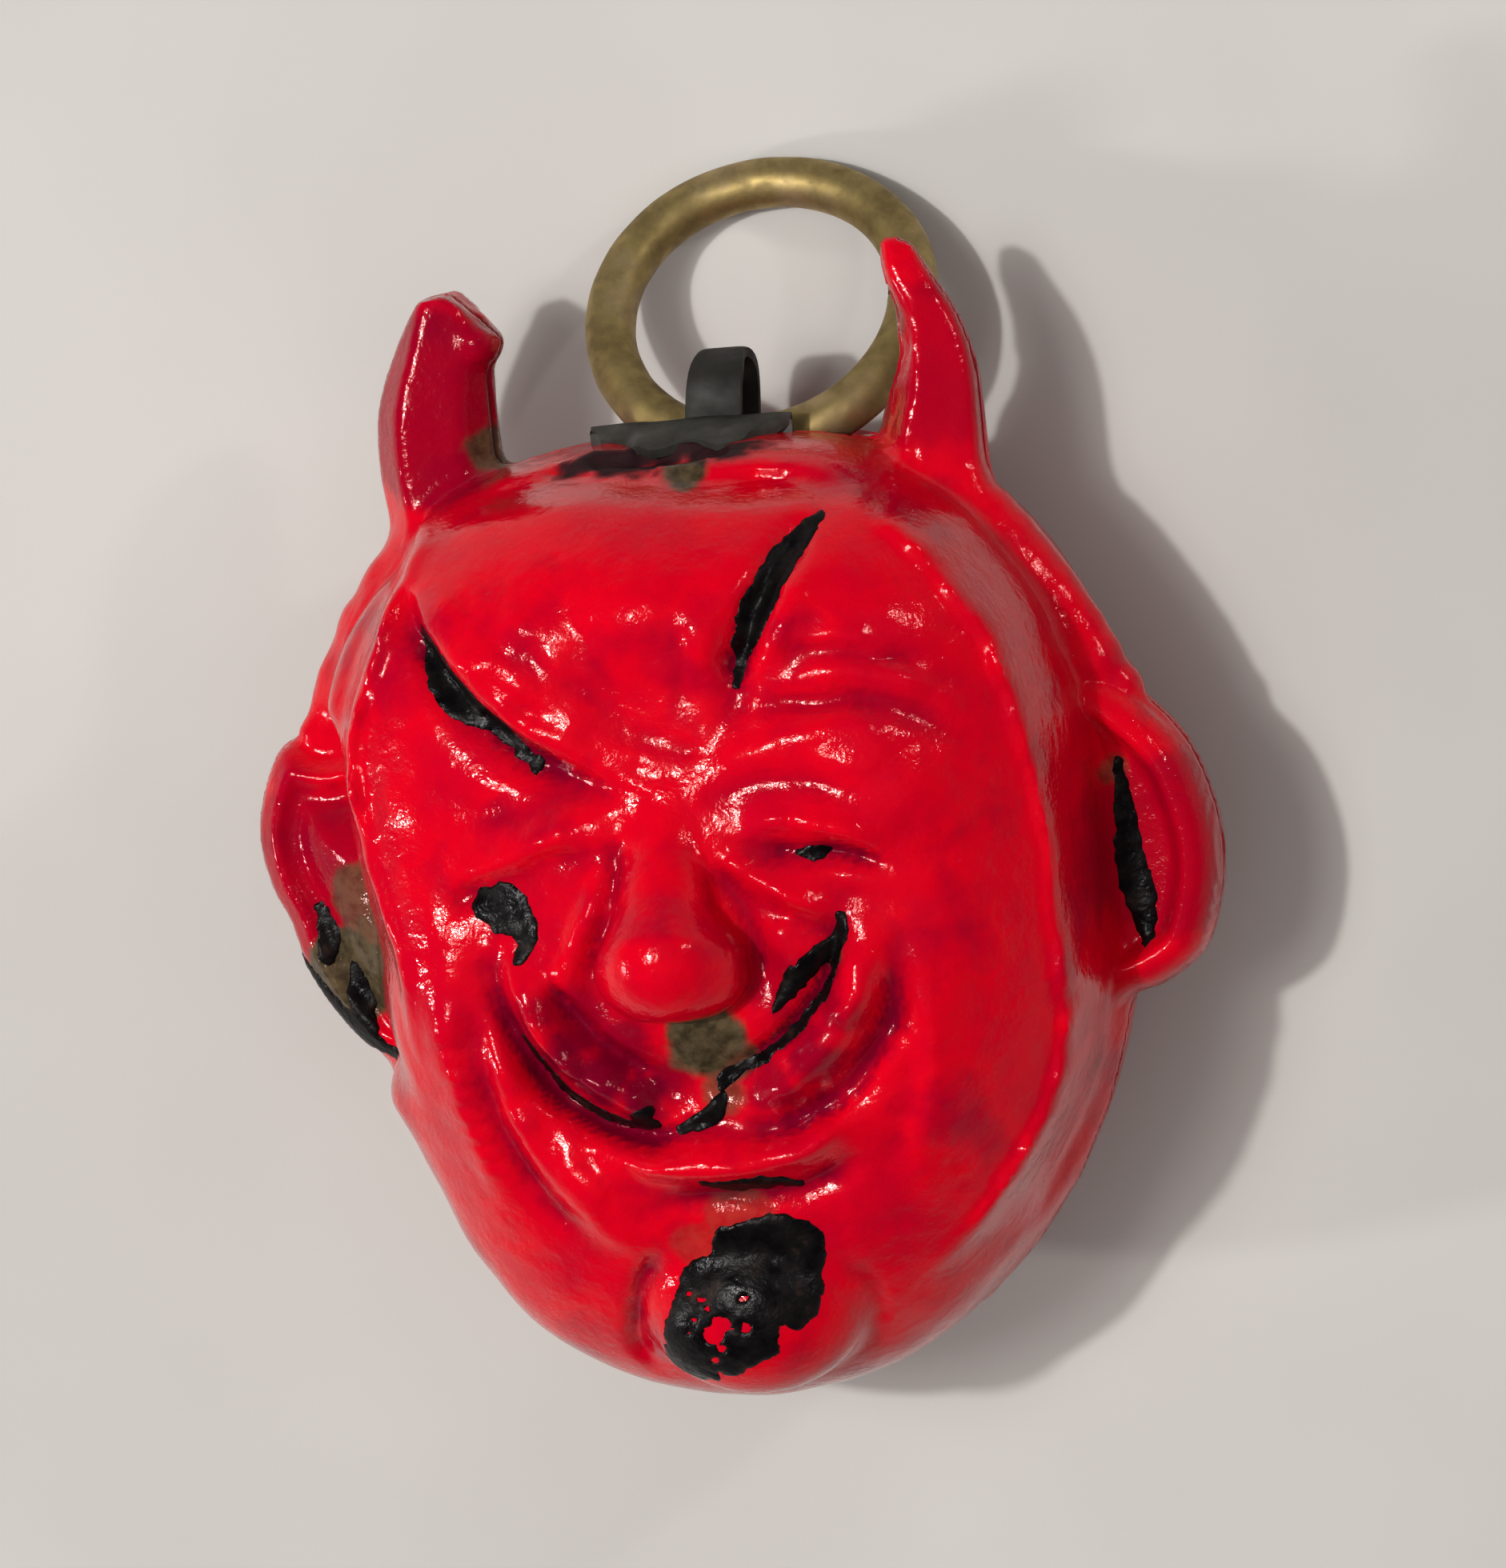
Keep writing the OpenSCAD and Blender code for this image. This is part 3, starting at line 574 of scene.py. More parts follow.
def subtract(obj, cutter):
    """Cuts one mesh out of another and removes the cutter."""
    mod = obj.modifiers.new("cut", "BOOLEAN")
    mod.operation, mod.solver, mod.object = "DIFFERENCE", "MANIFOLD", cutter
    dg = bpy.context.evaluated_depsgraph_get()
    mesh = bpy.data.meshes.new_from_object(obj.evaluated_get(dg))
    obj.modifiers.clear()
    old = obj.data
    obj.data = mesh
    bpy.data.meshes.remove(old)
    bpy.data.objects.remove(cutter)


# ---------------------------------------------------------------- materials
class Finish:
    """A material being made, with short ways to add its nodes."""

    def __init__(self, name):
        self.material = bpy.data.materials.new(name)
        self.material.use_nodes = True
        self.nodes, self.links = self.material.node_tree.nodes, self.material.node_tree.links
        self.shader = self.nodes["Principled BSDF"].inputs
        self.place = self.add("ShaderNodeTexCoord").outputs["Object"]

    def add(self, kind, **values):
        node = self.nodes.new(kind)
        for name, value in values.items():
            if name in node.inputs:
                node.inputs[name].default_value = value
            else:
                setattr(node, name, value)
        return node

    def fill(self, socket, source):
        """Links a source into one of the shader's sockets."""
        self.links.new(source, self.shader[socket])

    def layer(self, name):
        """A value that mark() wrote onto the points of the mesh."""
        return self.add("ShaderNodeAttribute", attribute_name=name).outputs["Fac"]

    def grain(self, scale, detail=3.0, rough=0.55):
        """Noise from 0 to 1; a larger scale has smaller patches."""
        node = self.add("ShaderNodeTexNoise", Scale=scale, Detail=detail, Roughness=rough)
        self.links.new(self.place, node.inputs["Vector"])
        return node.outputs["Fac"]

    def ramp(self, source, *stops):
        """The colours or greys that a source passes through."""
        node = self.nodes.new("ShaderNodeValToRGB")
        while len(node.color_ramp.elements) < len(stops):
            node.color_ramp.elements.new(0.5)
        for element, (at, shade) in zip(node.color_ramp.elements, stops):
            colour = (shade,) * 3 if isinstance(shade, float) else shade
            element.position, element.color = at, (*colour, 1)
        self.links.new(source, node.inputs["Fac"])
        return node.outputs["Color"]

    def mix(self, share_of_b, a, b):
        node = self.add("ShaderNodeMix", data_type="RGBA")
        sockets = [i for i in node.inputs if i.enabled]
        for socket, value in zip(sockets, (share_of_b, a, b)):
            if hasattr(value, "links"):
                self.links.new(value, socket)
            else:
                socket.default_value = value if isinstance(value, float) else (*value, 1)
        return [o for o in node.outputs if o.enabled][0]

    def bump(self, height, strength, distance, under=None):
        """A normal with bumps of a height, over another normal if there is one."""
        node = self.add("ShaderNodeBump", Strength=strength, Distance=distance)
        self.links.new(height, node.inputs["Height"])
        if under is not None:
            self.links.new(under, node.inputs["Normal"])
        return node.outputs["Normal"]


def red_material():
    skin = Finish("red_celluloid")
    red = skin.ramp(skin.grain(420.0, 4.0), (0.30, (0.44, 0.0, 0.012)), (0.52, (0.56, 0.0, 0.009)),
                    (0.72, (0.31, 0.0, 0.014)))
    # painted shade: a darker crimson over the red in hollows and creases, on the horns and ears, and on
    # the lip rolls
    red = skin.mix(skin.layer("painted_shade"), red, (0.15, 0.0, 0.012))
    olive = skin.ramp(skin.grain(3500.0, 5.0), (0.35, (0.030, 0.022, 0.011)), (0.6, (0.080, 0.058, 0.030)))
    colour = skin.mix(skin.layer("stain"), red, olive)
    # near black and matte where the seam holds dirt and, as painted shade, all through the torn pit in the
    # crown
    seam_dirt_and_pit_shade = skin.layer("seam_dirt_and_pit_shade")
    skin.fill("Base Color", skin.mix(seam_dirt_and_pit_shade, colour, (0.012, 0.004, 0.006)))
    gloss = skin.ramp(skin.grain(900.0), (0.3, 0.08), (0.7, 0.18))
    skin.fill("Roughness", skin.mix(seam_dirt_and_pit_shade, gloss, (0.75,) * 3))
    skin.shader["IOR"].default_value = 1.36
    skin.shader["Specular Tint"].default_value = (1.0, 0.55, 0.52, 1.0)
    skin.shader["Subsurface Weight"].default_value = 0.12
    skin.shader["Subsurface Radius"].default_value = (1.0, 0.12, 0.06)
    skin.shader["Subsurface Scale"].default_value = 0.0006
    coarse = skin.bump(skin.grain(2300.0, 4.0, 0.6), 0.42, 0.00007)
    skin.fill("Normal", skin.bump(skin.grain(6500.0, 2.0), 0.35, 0.00003, coarse))
    return skin.material


def paint_material():
    film = Finish("black_enamel")
    tone = film.grain(2200.0, 4.0)
    film.fill("Base Color", film.ramp(tone, (0.35, (0.002, 0.0015, 0.002)), (0.6, (0.005, 0.004, 0.004)),
                                      (0.8, (0.03, 0.015, 0.010))))
    film.fill("Roughness", film.ramp(tone, (0.3, 0.22), (0.7, 0.48)))
    film.shader["IOR"].default_value = 1.2
    film.fill("Normal", film.bump(film.grain(3800.0), 0.5, 0.00008))
    return film.material


def tin_material(name, shade):
    """Tarnished sheet metal; shade darkens it, and the hanger's darker copy is painted shade."""
    sheet = Finish(name)
    tone = sheet.grain(1400.0, 5.0)
    stops = ((0.3, (0.022, 0.020, 0.016)), (0.55, (0.045, 0.044, 0.036)), (0.75, (0.085, 0.072, 0.072)))
    shaded = [(at, tuple(shade * c for c in colour)) for at, colour in stops]
    sheet.fill("Base Color", sheet.ramp(tone, *shaded))
    sheet.fill("Roughness", sheet.ramp(tone, (0.3, 0.70), (0.7, 0.50)))
    sheet.shader["Metallic"].default_value = 0.2
    sheet.shader["IOR"].default_value = 1.35
    sheet.fill("Normal", sheet.bump(sheet.grain(3000.0, 4.0), 0.4, 0.00005))
    return sheet.material


def brass_material():
    wire = Finish("aged_brass")
    clean = wire.ramp(wire.grain(500.0, 5.0, 0.6), (0.30, (0.20, 0.14, 0.05)), (0.5, (0.38, 0.28, 0.11)),
                      (0.7, (0.54, 0.40, 0.24)))
    fine = wire.grain(2400.0, 4.0)
    spots = wire.ramp(fine, (0.4, (0.07, 0.05, 0.03)), (0.65, (0.36, 0.27, 0.10)))
    wire.fill("Base Color", wire.mix(0.35, clean, spots))
    wire.fill("Roughness", wire.ramp(fine, (0.35, 0.64), (0.7, 0.48)))
    wire.shader["Metallic"].default_value = 0.9
    wire.fill("Normal", wire.bump(fine, 0.25, 0.00004))
    return wire.material


def cloth_material():
    cloth = Finish("pale_cloth")
    pale = cloth.ramp(cloth.grain(60.0), (0.3, (0.425, 0.41, 0.39)), (0.7, (0.475, 0.46, 0.44)))
    cloth.fill("Base Color", pale)
    cloth.shader["Roughness"].default_value = 0.9
    return cloth.material


# ---------------------------------------------------------------- paint
# Dabs: path of x, y, half width. A piece is the union of its dabs.
PAINT = {
    "brow_paint_left": [
        [(-4.62, 6.05, 0.06), (-4.42, 5.6, 0.26), (-4.1, 4.95, 0.42), (-3.72, 4.55, 0.36),
         (-3.35, 4.25, 0.20), (-2.95, 3.85, 0.13), (-2.45, 3.42, 0.09)],
        [(-3.5, 4.2, 0.12), (-3.1, 4.1, 0.12)],
        [(-2.85, 3.65, 0.10), (-2.5, 3.3, 0.10)],
    ],
    "brow_paint_right": [
        [(3.12, 7.62, 0.07), (2.78, 7.25, 0.22), (2.44, 6.8, 0.28), (2.05, 6.1, 0.30), (1.75, 5.5, 0.24),
         (1.6, 5.05, 0.13), (1.52, 4.65, 0.08)],
    ],
    "eye_paint_left": [
        [(-3.62, 0.82, 0.36), (-3.38, 0.74, 0.50), (-3.08, 0.5, 0.38), (-2.9, 0.12, 0.22),
         (-3.1, -0.2, 0.12)],
    ],
    "eye_paint_right": [
        [(2.42, 1.47, 0.05), (2.6, 1.46, 0.13), (2.78, 1.42, 0.15), (2.95, 1.45, 0.12),
         (3.08, 1.48, 0.05)],
    ],
    "moustache_paint_left": [
        [(-3.25, -1.75, 0.08), (-2.95, -2.4, 0.11), (-2.55, -2.97, 0.13), (-2.1, -3.32, 0.13),
         (-1.6, -3.55, 0.14), (-1.1, -3.62, 0.14), (-0.85, -3.55, 0.12)],
        [(-1.15, -3.45, 0.12), (-0.9, -3.3, 0.10)],
    ],
    "mouth_paint": [
        [(-0.42, -3.72, 0.10), (-0.05, -3.6, 0.16), (0.3, -3.42, 0.18), (0.48, -3.2, 0.14)],
    ],
    "moustache_paint_right": [
        [(3.16, 0.2, 0.12), (3.05, -0.2, 0.17), (2.6, -0.55, 0.20), (2.2, -0.9, 0.22), (1.85, -1.3, 0.12),
         (1.7, -1.55, 0.05)],
        [(3.0, -0.3, 0.1), (2.88, -0.8, 0.10), (2.55, -1.4, 0.09), (1.95, -1.98, 0.10),
         (1.3, -2.45, 0.10), (0.85, -2.65, 0.13), (0.55, -2.82, 0.15), (0.45, -2.95, 0.08)],
    ],
    "lip_paint": [
        [(0.0, -4.76, 0.07), (0.35, -4.86, 0.13), (0.9, -4.82, 0.17), (1.35, -4.86, 0.13),
         (1.75, -4.95, 0.05)],
    ],
    "goatee_paint": [
        [(0.3, -6.1, 0.42), (1.1, -5.98, 0.48), (1.6, -6.1, 0.42)],
        [(1.5, -6.4, 0.50), (1.4, -7.3, 0.45)],
        [(0.4, -6.5, 0.60), (0.5, -7.3, 0.70), (0.3, -7.9, 0.60)],
        [(-0.3, -6.8, 0.50), (-0.55, -7.6, 0.60), (-0.7, -8.2, 0.50)],
        [(0.0, -8.2, 0.45), (0.7, -8.0, 0.35)],
        [(-1.1, -7.6, 0.14), (-1.15, -8.4, 0.20), (-0.4, -8.65, 0.16)],
    ],
    "ear_paint_left": [
        [(-8.95, -0.75, 0.05), (-8.7, -1.25, 0.16), (-8.2, -1.95, 0.22), (-7.6, -2.5, 0.22),
         (-7.15, -2.75, 0.14)],
        [(-8.35, 0.2, 0.10), (-8.2, -0.35, 0.24), (-8.3, -0.8, 0.15)],
        [(-7.75, -1.0, 0.12), (-7.7, -1.7, 0.26), (-7.6, -2.3, 0.2)],
    ],
    "ear_paint_right": [
        [(7.68, 2.05, 0.08), (7.72, 1.4, 0.16), (7.74, 0.7, 0.22), (7.78, 0.0, 0.30), (7.9, -0.7, 0.30),
         (7.95, -1.25, 0.20), (7.95, -1.5, 0.08)],
    ],
}
# Bare spots worn through the paint: x, y, radius.
WORN = [(0.55, -7.0, 0.16), (-0.1, -7.5, 0.26), (0.45, -7.6, 0.14), (-0.5, -7.0, 0.10), (0.1, -8.1, 0.14),
        (-0.75, -7.9, 0.12), (-0.3, -8.35, 0.12), (-3.35, 4.3, 0.09)]
PAINT_UP, PAINT_DOWN = 0.035, 0.05  # how far the film stands proud, and reaches into the shell
PAINT_EDGE = 0.09                   # width over which it rises to its full thickness


def painted(dabs, x, y):
    """How far inside the ragged outline of a touch of paint each place lies."""
    m = np.full(x.shape, -9.0)
    for dab in dabs:
        path = curve(dab)
        d, _, place = along(path[:, :2], x, y)
        steps = np.sqrt((np.diff(path[:, :2], axis=0) ** 2).sum(1))
        lengths = np.concatenate([[0], np.cumsum(steps)])
        m = np.maximum(m, np.interp(place, lengths / lengths[-1], path[:, 2]) - d)
    u, v = x + 0.3 * noise(25, 0.3, x, y), y + 0.3 * noise(26, 0.3, x, y)
    for wx, wy, r in WORN:
        m = np.minimum(m, np.hypot(u - wx, v - wy) - r * (1 + 0.4 * noise(21, 0.1, x, y)))
    return m + 0.045 * noise(22, 0.16, x, y) + 0.03 * noise(23, 0.07, x, y)


def paint_piece(name, dabs, points, quads, normals, material):
    """A thin film on the face: the triangles under the paint, cut at its outline and thickened."""
    spots = np.array([p[:2] for d in dabs for p in d])
    lo, hi = spots.min(0) - 1.0, spots.max(0) + 1.0
    centre = points[quads].mean(1)
    keep = ((centre[:, :2] > lo) & (centre[:, :2] < hi)).all(1) & (normals[quads[:, 0], 2] > -0.2)
    keep &= centre[:, 2] > 0.25
    q = quads[keep]
    tris = np.concatenate([q[:, [0, 1, 2]], q[:, [0, 2, 3]]])
    used = np.unique(tris)
    mask = np.full(len(points), -9.0)
    mask[used] = painted(dabs, points[used, 0], points[used, 1])
    tris = tris[(mask[tris] > 0).any(1)]
    where, lift, index, out = [], [], {}, []

    def vertex(a, b=None):
        key = a if b is None else (min(a, b), max(a, b))
        if key not in index:
            if b is None:
                p, n, m = points[a], normals[a], mask[a]
            else:
                t = mask[a] / (mask[a] - mask[b])
                p, n = [v[a] * (1 - t) + v[b] * t for v in (points, normals)]
                m = 0.0
            index[key] = len(where)
            where.append((p, n / np.linalg.norm(n)))
            lift.append(m)
        return index[key]

    for tri in tris.tolist():
        poly = []
        for a, b in zip(tri, tri[1:] + tri[:1]):
            if mask[a] > 0:
                poly.append(vertex(a))
            if (mask[a] > 0) != (mask[b] > 0):
                poly.append(vertex(a, b))
        for i in range(1, len(poly) - 1):
            if len({poly[0], poly[i], poly[i + 1]}) == 3:
                out.append((poly[0], poly[i], poly[i + 1]))
    # a copy of the patch under it, and a wall along its open edges
    p = np.array([w[0] for w in where])
    n = np.array([w[1] for w in where])
    rise = PAINT_UP * np.sqrt(np.clip(np.array(lift) / PAINT_EDGE, 0, 1)) + 0.004
    both = np.vstack([p + n * rise[:, None], p - n * PAINT_DOWN])
    edges = dict.fromkeys((a, b) for t in out for a, b in zip(t, t[1:] + t[:1]))
    k = len(p)
    faces = [list(t) for t in out] + [[c + k for c in t[::-1]] for t in out]
    faces += [[b, a, a + k, b + k] for (a, b) in edges if (b, a) not in edges]
    make(name.replace("paint", "enamel"), both, faces, "head", name, "black_paint", material, 60)


# ---------------------------------------------------------------- metal pieces
EYE_X, EYE_Y, EYE_Z = 0.28, 8.63, -0.64    # where the ring's wire turns in the hanger
EYE_GAP, EYE_TOP = 1.4, 10.45              # clear width of the hanger's arch, and its top
STRIP_T, STRIP_W = 0.25, 1.1               # thickness and width of its strip
CAP_LOW, CAP_BACK, CAP_T, CAP_W = 7.8, -1.5, 0.18, 4.0
RING_R, WIRE = 3.05, 1.0                   # radius to the middle of the wire, and its diameter
RING_LEAN, RING_SHIFT = 39.0, 0.57         # degrees it leans back, and how far its middle is to the right
RING_REACH = math.sqrt(RING_R ** 2 - RING_SHIFT ** 2)


def ribbon(path, widths, thick, middle_x, bend=None):
    """A strip of sheet that follows a path in the YZ plane, whose points are (z, y)."""
    path = np.array(path, float)
    step = np.gradient(path, axis=0)
    step /= np.maximum(np.linalg.norm(step, axis=1, keepdims=True), 1e-9)
    normal = np.stack([-step[:, 1], step[:, 0]], 1)
    across = 13
    rows = []
    for side in (0.5, -0.5):
        for i, (p, nrm) in enumerate(zip(path, normal)):
            for s in np.linspace(-1, 1, across):
                z, y = p + nrm * thick * side * (1 - 0.25 * s ** 8)
                x = middle_x + s * widths[i] / 2
                if bend:
                    dy, dz = bend(i / (len(path) - 1), s)
                    y, z = y + dy, z + dz
                rows.append((x, y, z))
    n = len(path)
    low = n * across
    faces = []
    for i in range(n - 1):
        for j in range(across - 1):
            a, b = i * across + j, (i + 1) * across + j
            faces += [[a, b, b + 1, a + 1], [low + a, low + a + 1, low + b + 1, low + b]]
        for j in (0, across - 1):
            a, b = i * across + j, (i + 1) * across + j
            faces.append([a, low + a, low + b, b] if j == 0 else [a, b, low + b, low + a])
    for i in (0, n - 1):
        for j in range(across - 1):
            a = i * across + j
            faces.append([a, a + 1, low + a + 1, low + a] if i == 0 else [a, low + a, low + a + 1, a + 1])
    return np.array(rows), [f[::-1] for f in faces]


def hanger(material):
    """The strip bent into an arch over the ring, with both legs down into the cap."""
    turns = np.linspace(0, math.pi, 15)
    mid_r = EYE_GAP / 2 + STRIP_T / 2
    arch_y = EYE_TOP - EYE_GAP / 2 - STRIP_T
    foot = 7.6
    path = [(EYE_Z + mid_r, y) for y in np.linspace(foot, arch_y, 12)]
    path += [(EYE_Z + mid_r * math.cos(a), arch_y + mid_r * math.sin(a)) for a in turns[1:]]
    path += [(EYE_Z - mid_r, y) for y in np.linspace(arch_y, foot, 12)[1:]]
    ys = np.array([p[1] for p in path])
    over = np.clip((ys - (EYE_TOP - 0.75)) / 0.62, 0, 1)
    widths = STRIP_W * (1 - 0.16 * over ** 4) + 0.02 * np.sin(ys * 3)
    points, faces = ribbon(path, widths, STRIP_T, EYE_X)
    points[:, 0] += 0.10 * np.maximum(points[:, 1] - 8.8, 0)
    make("hanger_strip", points, faces, "head", "hanger_eye", "tin_plate", material, 50)


def cap(material):
    """The folded sheet in the crown: a trough with a torn lip that laps over the front."""
    path = [(1.62, 8.80), (1.35, 8.90), (1.05, 8.99), (0.75, 9.08), (0.52, 9.15), (0.42, 9.1), (0.38, 8.9)]
    path += [(0.37, y) for y in np.linspace(8.7, CAP_LOW + 0.1, 6)]
    path += [(z, CAP_LOW) for z in np.linspace(0.3, CAP_BACK, 8)]
    path += [(CAP_BACK - 0.1, y) for y in np.linspace(CAP_LOW + 0.1, 8.55, 5)]
    edge = [(-1.0, -0.95), (-0.8, -0.45), (-0.6, -0.10), (-0.42, 0.26), (-0.28, 0.30), (-0.1, -0.02),
            (0.1, -0.22), (0.3, -0.10), (0.5, 0.02), (0.7, -0.06), (0.85, -0.28), (1.0, -0.7)]

    def bend(t, s):
        front = max(0.0, 1 - t / 0.2)
        wave = float(np.interp(s, *zip(*edge)))
        droop = -0.22 * max(wave, 0) - 0.12 * s * s + 0.05 * math.sin(9 * s)
        return front * droop, front * wave

    widths = [CAP_W * (0.74 + 0.26 * float(ease(i / 3.5))) for i in range(len(path))]
    points, faces = ribbon(path, widths, CAP_T, -0.1, bend)
    make("cap_sheet", points, faces, "head", "crown_cap", "tin_plate", material, 50)


def leaned(x, y, z, lean):
    """A place beside the eye, leaned back by so many degrees about the eye."""
    c, s = math.cos(math.radians(-lean)), math.sin(math.radians(-lean))
    return x + EYE_X, y * c - z * s + EYE_Y, y * s + z * c + EYE_Z


def ring(material):
    """The round wire, with a narrow cut where its ends meet."""
    around, across = 220, 28
    a = np.radians(np.linspace(2, 359, around))
    b = np.arange(across) * 2 * math.pi / across
    wire = WIRE / 2 * (1 + 0.012 * noise(41, 0.5, a * RING_R))
    flat = []
    for t, r in zip(a, wire):
        wide = RING_R + 0.012 * math.sin(3 * t)
        flat += [((wide + r * math.cos(q)) * math.cos(t), (wide + r * math.cos(q)) * math.sin(t),
                  r * math.sin(q)) for q in b]
    p = np.array(flat) + (RING_SHIFT, RING_REACH, 0)
    points = np.stack(leaned(*p.T, RING_LEAN), 1)
    faces = []
    for i in range(around - 1):
        for j in range(across):
            k = (j + 1) % across
            faces.append([i * across + j, i * across + k, (i + 1) * across + k, (i + 1) * across + j])
    faces = [f[::-1] for f in faces]
    faces += [list(range(across)), [(around - 1) * across + j for j in range(across)][::-1]]
    make("wire_ring", points, faces, "ring", "jump_ring", "brass_wire", material, 50)


def ring_groove():
    """The solid that the ring's near side sweeps, with room round it, as a closed mesh."""
    bm = bmesh.new()
    turns = np.arange(72) * 2 * math.pi / 72
    room, past, top = 0.14, 3, 1.6
    r, half = RING_R + WIRE / 2 + room, WIRE / 2 + 0.15
    for lean in np.linspace(RING_LEAN + past, 5, 7):
        for h in (-half, half):
            for t in turns:
                x, y = r * math.cos(t) + RING_SHIFT, min(r * math.sin(t) + RING_REACH, top)
                bm.verts.new(leaned(x, y, h, lean))
    bmesh.ops.convex_hull(bm, input=bm.verts)
    loose = [v for v in bm.verts if not v.link_faces]
    bmesh.ops.delete(bm, geom=loose, context="VERTS")
    bm.verts.index_update()
    points = [tuple(v.co) for v in bm.verts]
    faces = [[v.index for v in f.verts] for f in bm.faces]
    bm.free()
    return points, faces


def block(lo, hi):
    """A box from its lowest to its highest corner."""
    points = [(x, y, z) for x in (lo[0], hi[0]) for y in (lo[1], hi[1]) for z in (lo[2], hi[2])]
    faces = [[0, 1, 3, 2], [4, 6, 7, 5], [0, 4, 5, 1], [2, 3, 7, 6], [0, 2, 6, 4], [1, 5, 7, 3]]
    return points, faces


# ---------------------------------------------------------------- build
def build_shells():
    """The two halves of the solid head, parted at the seam. Returns the grid's axes and the halves."""
    axes, f = sculpt()
    zs = axes[2]
    halves = {}
    for name, field in (("face", np.minimum(f, zs)), ("back", np.minimum(f, -zs))):
        points, quads = surface(axes, field)
        free = (np.abs(points[:, 2]) > CELL * 0.9) & (points[:, 2] > -SEAM + CELL)
        for _ in range(2):  # slide the points onto the exact surface
            value, slope = sample(axes, f, points[free])
            size = np.maximum((slope ** 2).sum(1), 0.05)
            points[free] -= np.clip(value / size, -0.05, 0.05)[:, None] * slope
        halves[name] = (points, quads)
    return axes, halves


def point_normals(points, quads):
    """The direction that the surface faces at each point."""
    n = np.zeros_like(points)
    a = points[quads[:, 2]] - points[quads[:, 0]]
    b = points[quads[:, 3]] - points[quads[:, 1]]
    face = np.cross(a, b)
    for k in range(4):
        np.add.at(n, quads[:, k], face)
    return n / np.maximum(np.linalg.norm(n, axis=1, keepdims=True), 1e-9)


STAINS = [  # x, y, z, radius, strength: thin worn paint, brown over the red
    (0.35, -1.95, 5.6, 0.75, 1.0), (0.75, -2.4, 5.6, 0.45, 0.9), (0.0, -2.2, 5.6, 0.45, 0.9),
    (-7.8, -1.2, 1.6, 1.0, 1.0), (-7.3, 0.4, 2.0, 0.8, 0.8), (-7.1, -0.4, 2.4, 0.7, 0.9),
    (0.25, 8.45, 2.6, 0.45, 1.0), (-6.75, 2.0, 2.4, 0.35, 0.6), (-6.8, 3.2, 2.4, 0.3, 0.5),
    (-4.1, 8.9, 0.3, 0.45, 0.9), (2.9, -0.5, 5.1, 0.35, 0.5),
    (0.5, -5.6, 4.9, 0.7, 0.35), (-0.4, -6.0, 4.8, 0.5, 0.3), (0.5, -3.1, 5.5, 0.4, 0.7),
    (7.6, 1.9, 1.0, 0.3, 0.6), (3.9, 10.8, 0.0, 0.4, 0.5), (3.4, 9.0, 0.3, 0.4, 0.5),
]
PAINTED_SHADE_SPOTS = [  # x, y, z, radius, strength: spots painted a darker crimson, as shade on the horns and ears, and a darker tone on the lip rolls
    (-2.75, -1.3, 5.5, 0.5, 0.8), (-2.3, -2.1, 5.6, 0.55, 1.0), (-1.7, -2.6, 5.7, 0.6, 1.0),
    (-1.0, -3.0, 5.7, 0.5, 1.0), (-2.0, -1.3, 5.7, 0.6, 0.7), (-1.2, -2.0, 5.7, 0.6, 0.8),
    (3.0, -1.5, 5.4, 0.5, 0.7), (2.4, -2.4, 5.5, 0.6, 0.8), (1.5, -3.0, 5.7, 0.5, 0.7),
    (1.9, -0.9, 5.6, 0.6, 0.5), (-5.2, 9.8, 0.8, 1.9, 0.7), (4.6, 10.0, 0.6, 1.6, 0.4),
    (8.6, 0.4, 1.0, 1.8, 0.5), (-8.6, 0.8, 1.0, 1.8, 0.55),
]


def hollows(axes):
    """How deep each place of the face lies under its surroundings, on the grid's x and y."""
    r = relief(*np.meshgrid(axes[0], axes[1], indexing="ij"))
    wide, reach = r.copy(), 4
    for axis in (0, 1):
        for _ in range(2):
            wide = sum(np.roll(wide, k, axis) for k in range(-reach, reach + 1)) / (2 * reach + 1)
    return np.clip((wide - r) / 0.20, -1, 1)


def cell_of(places, axis):
    """The grid's cell that holds each place along an axis."""
    return np.clip(((places - axis[0]) / CELL + 0.5).astype(int), 0, len(axis) - 1)


def blotches(p, spots, edge, ragged):
    """The strength of a set of spots at each place; they fade over an edge of so many mm."""
    out = np.zeros(len(p))
    for x, y, z, r, strength in spots:
        d = np.linalg.norm((p - (x, y, z)) * (1, 1, 0.4), axis=1)
        out = np.maximum(out, strength * ease((r - d) / edge + 0.5 + ragged))
    return out


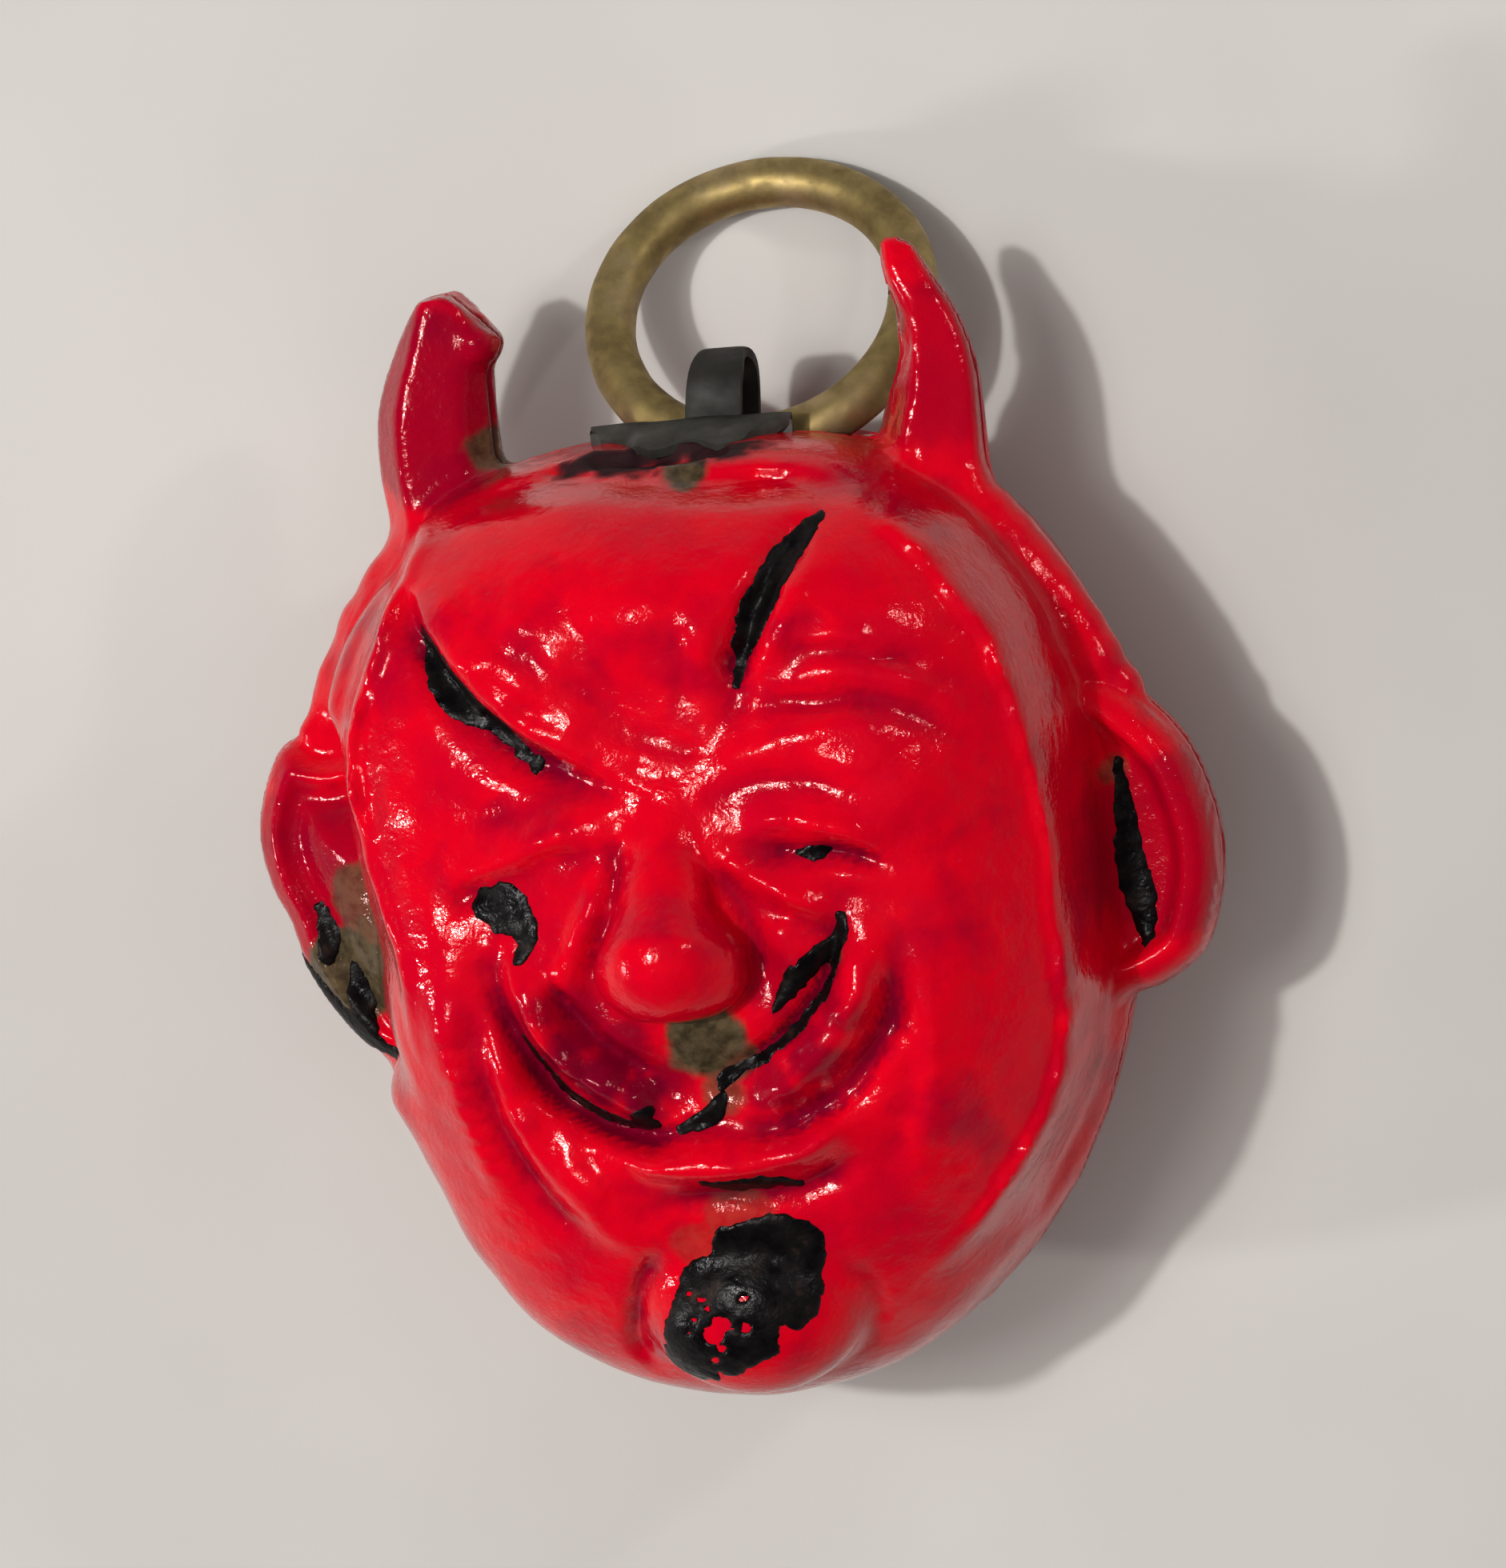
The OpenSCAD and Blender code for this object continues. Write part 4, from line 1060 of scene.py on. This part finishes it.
def mark(obj, axes, low):
    """Writes the stains, the seam's dirt, the painted shade in the crown's pit and the painted shade of
    darker red in the hollows onto the shell's points.
    """
    mesh = obj.data
    p = np.empty(len(mesh.vertices) * 3)
    mesh.vertices.foreach_get("co", p)
    p = p.reshape(-1, 3) / MM - HEAD
    ragged = noise(51, 0.35, *p.T) + 0.6 * noise(52, 0.15, *p.T)
    stain = blotches(p, STAINS, 0.16, 0.45 * ragged)
    seam = ease(1 - (np.abs(p[:, 2]) - 0.02) / 0.10) * (0.55 + 0.3 * noise(53, 0.8, *p.T))
    # painted shade: the whole torn pit in the crown is coloured near black
    gap = ease(3.15 - 2 * ball(*p.T, PIT_AT, PIT_SIZE) + 0.6 * ragged)
    seam_dirt_and_pit_shade = np.clip(np.maximum(seam * 0.6, gap), 0, 1)
    # painted shade: darker crimson in the face's hollows and creases, on its front and away from the
    # outline
    painted_shade = np.clip(low[cell_of(p[:, 0], axes[0]), cell_of(p[:, 1], axes[1])], 0, 1)
    painted_shade *= ease((p[:, 2] - 0.8) / 1.2) * (1 - ease((share(p[:, 0], p[:, 1]) - 0.78) / 0.1))
    painted_shade = np.maximum(painted_shade, blotches(p, PAINTED_SHADE_SPOTS, 0.5, 0.3 * ragged))
    for name, values in (("stain", stain), ("seam_dirt_and_pit_shade", seam_dirt_and_pit_shade), ("painted_shade", painted_shade)):
        layer = mesh.attributes.new(name, "FLOAT", "POINT")
        layer.data.foreach_set("value", values.astype(np.float32))


def moulding(name, half, axes, low, material):
    """One half of the head, hollowed, with room for the cap and the ring."""
    obj = make(name + "_moulding", *half, "head", name + "_shell", "red_plastic", material)
    for cutter in (hollow_mesh(name == "face"), ring_groove(), block(*CAP_ROOM)):
        subtract(obj, make("cutter", *cutter, None))
    smooth(obj.data, 38)
    mark(obj, axes, low)


def build_all():
    red, black = red_material(), paint_material()
    axes, halves = build_shells()
    low = hollows(axes)
    for name, half in halves.items():
        moulding(name, half, axes, low, red)
    points, quads = halves["face"]
    normals = point_normals(points, quads)
    for name, dabs in PAINT.items():
        paint_piece(name, dabs, points, quads, normals, black)
    cap(tin_material("tarnished_tin", 0.75))
    # painted shade: the hanger gets a darker copy of the same tin than the cap
    hanger(tin_material("tin_darkened_as_shade", 0.35))
    ring(brass_material())


# ---------------------------------------------------------------- stage, light and camera
def floor():
    mesh = bpy.data.meshes.new("floor")
    s = 0.5  # half its side, in m
    mesh.from_pydata([(-s, -s, 0), (s, -s, 0), (s, s, 0), (-s, s, 0)], [], [[0, 1, 2, 3]])
    mesh.materials.append(cloth_material())
    obj = bpy.data.objects.new("floor", mesh)
    bpy.context.collection.objects.link(obj)


LAMPS = [  # name, place and size in m, watts, colour, whether it shows in reflections
    ("key", (-0.055, 0.038, 0.235), 0.066, 0.20, (1.0, 0.98, 0.95), True),
    ("spark", (-0.060, 0.044, 0.230), 0.009, 0.31, (1.0, 0.99, 0.97), True),
    ("fill", (0.04, 0.02, 0.35), 0.45, 0.52, (1.0, 0.97, 0.95), False),
    ("side", (0.17, 0.10, 0.13), 0.016, 0.075, (1.0, 0.97, 0.95), True),
    ("low", (-0.17, -0.035, 0.085), 0.014, 0.125, (1.0, 0.97, 0.95), True),
]
SKY = ((0.06, 0.62), (0.10, 0.29), (0.45, 0.05))  # height over the horizon, as a sine, and brightness


def lamp(name, where, size, watts, colour, shines):
    """A round lamp aimed at the head."""
    data = bpy.data.lights.new(name, "AREA")
    data.shape, data.size, data.energy, data.color = "DISK", size, watts, colour
    obj = bpy.data.objects.new(name, data)
    obj.location = where
    obj.rotation_mode = "QUATERNION"
    obj.rotation_quaternion = (Vector(HEAD * MM) - Vector(where)).to_track_quat("-Z", "Y")
    obj.visible_glossy = shines
    bpy.context.collection.objects.link(obj)


def light():
    world = bpy.data.worlds.new("studio")
    bpy.context.scene.world = world
    world.use_nodes = True
    nodes, links = world.node_tree.nodes, world.node_tree.links
    height = nodes.new("ShaderNodeSeparateXYZ")
    links.new(nodes.new("ShaderNodeTexCoord").outputs["Generated"], height.inputs["Vector"])
    ramp = nodes.new("ShaderNodeValToRGB")
    links.new(height.outputs["Z"], ramp.inputs["Fac"])
    ramp.color_ramp.elements.new(0.1)
    for element, (at, v) in zip(ramp.color_ramp.elements, SKY):
        element.position, element.color = at, (v, v * 1.02, v * 1.05, 1)
    links.new(ramp.outputs["Color"], nodes["Background"].inputs["Color"])
    nodes["Background"].inputs["Strength"].default_value = 0.85
    for values in LAMPS:
        lamp(*values)


def camera():
    """A long lens over the face, turned to the right, tipped up and rolled a little."""
    turn, tip, roll = math.radians(13.0), math.radians(8.0), math.radians(5.5)
    distance, view_height = 150.0, 30.625
    right_of_head, over_head = 0.15625, 1.953125
    away = Vector((math.sin(turn) * math.cos(tip), math.sin(tip), math.cos(turn) * math.cos(tip)))
    side = Vector((0, 1, 0)).cross(away).normalized()
    rise = away.cross(side)
    right = side * math.cos(roll) - rise * math.sin(roll)
    up = side * math.sin(roll) + rise * math.cos(roll)
    target = Vector(HEAD) + right * right_of_head + up * over_head
    data = bpy.data.cameras.new("camera")
    data.sensor_width = 36.0
    data.lens = data.sensor_width * distance / view_height
    obj = bpy.data.objects.new("camera", data)
    place = (target + away * distance) * MM
    rows = [[right[i], up[i], away[i], place[i]] for i in range(3)] + [[0, 0, 0, 1]]
    obj.matrix_world = Matrix(rows)
    data.clip_start, data.clip_end = 0.01, 5.0
    bpy.context.collection.objects.link(obj)
    bpy.context.scene.camera = obj
    # the default transform turns a saturated red pink
    bpy.context.scene.view_settings.view_transform = "Standard"


build_all()
floor()
light()
camera()
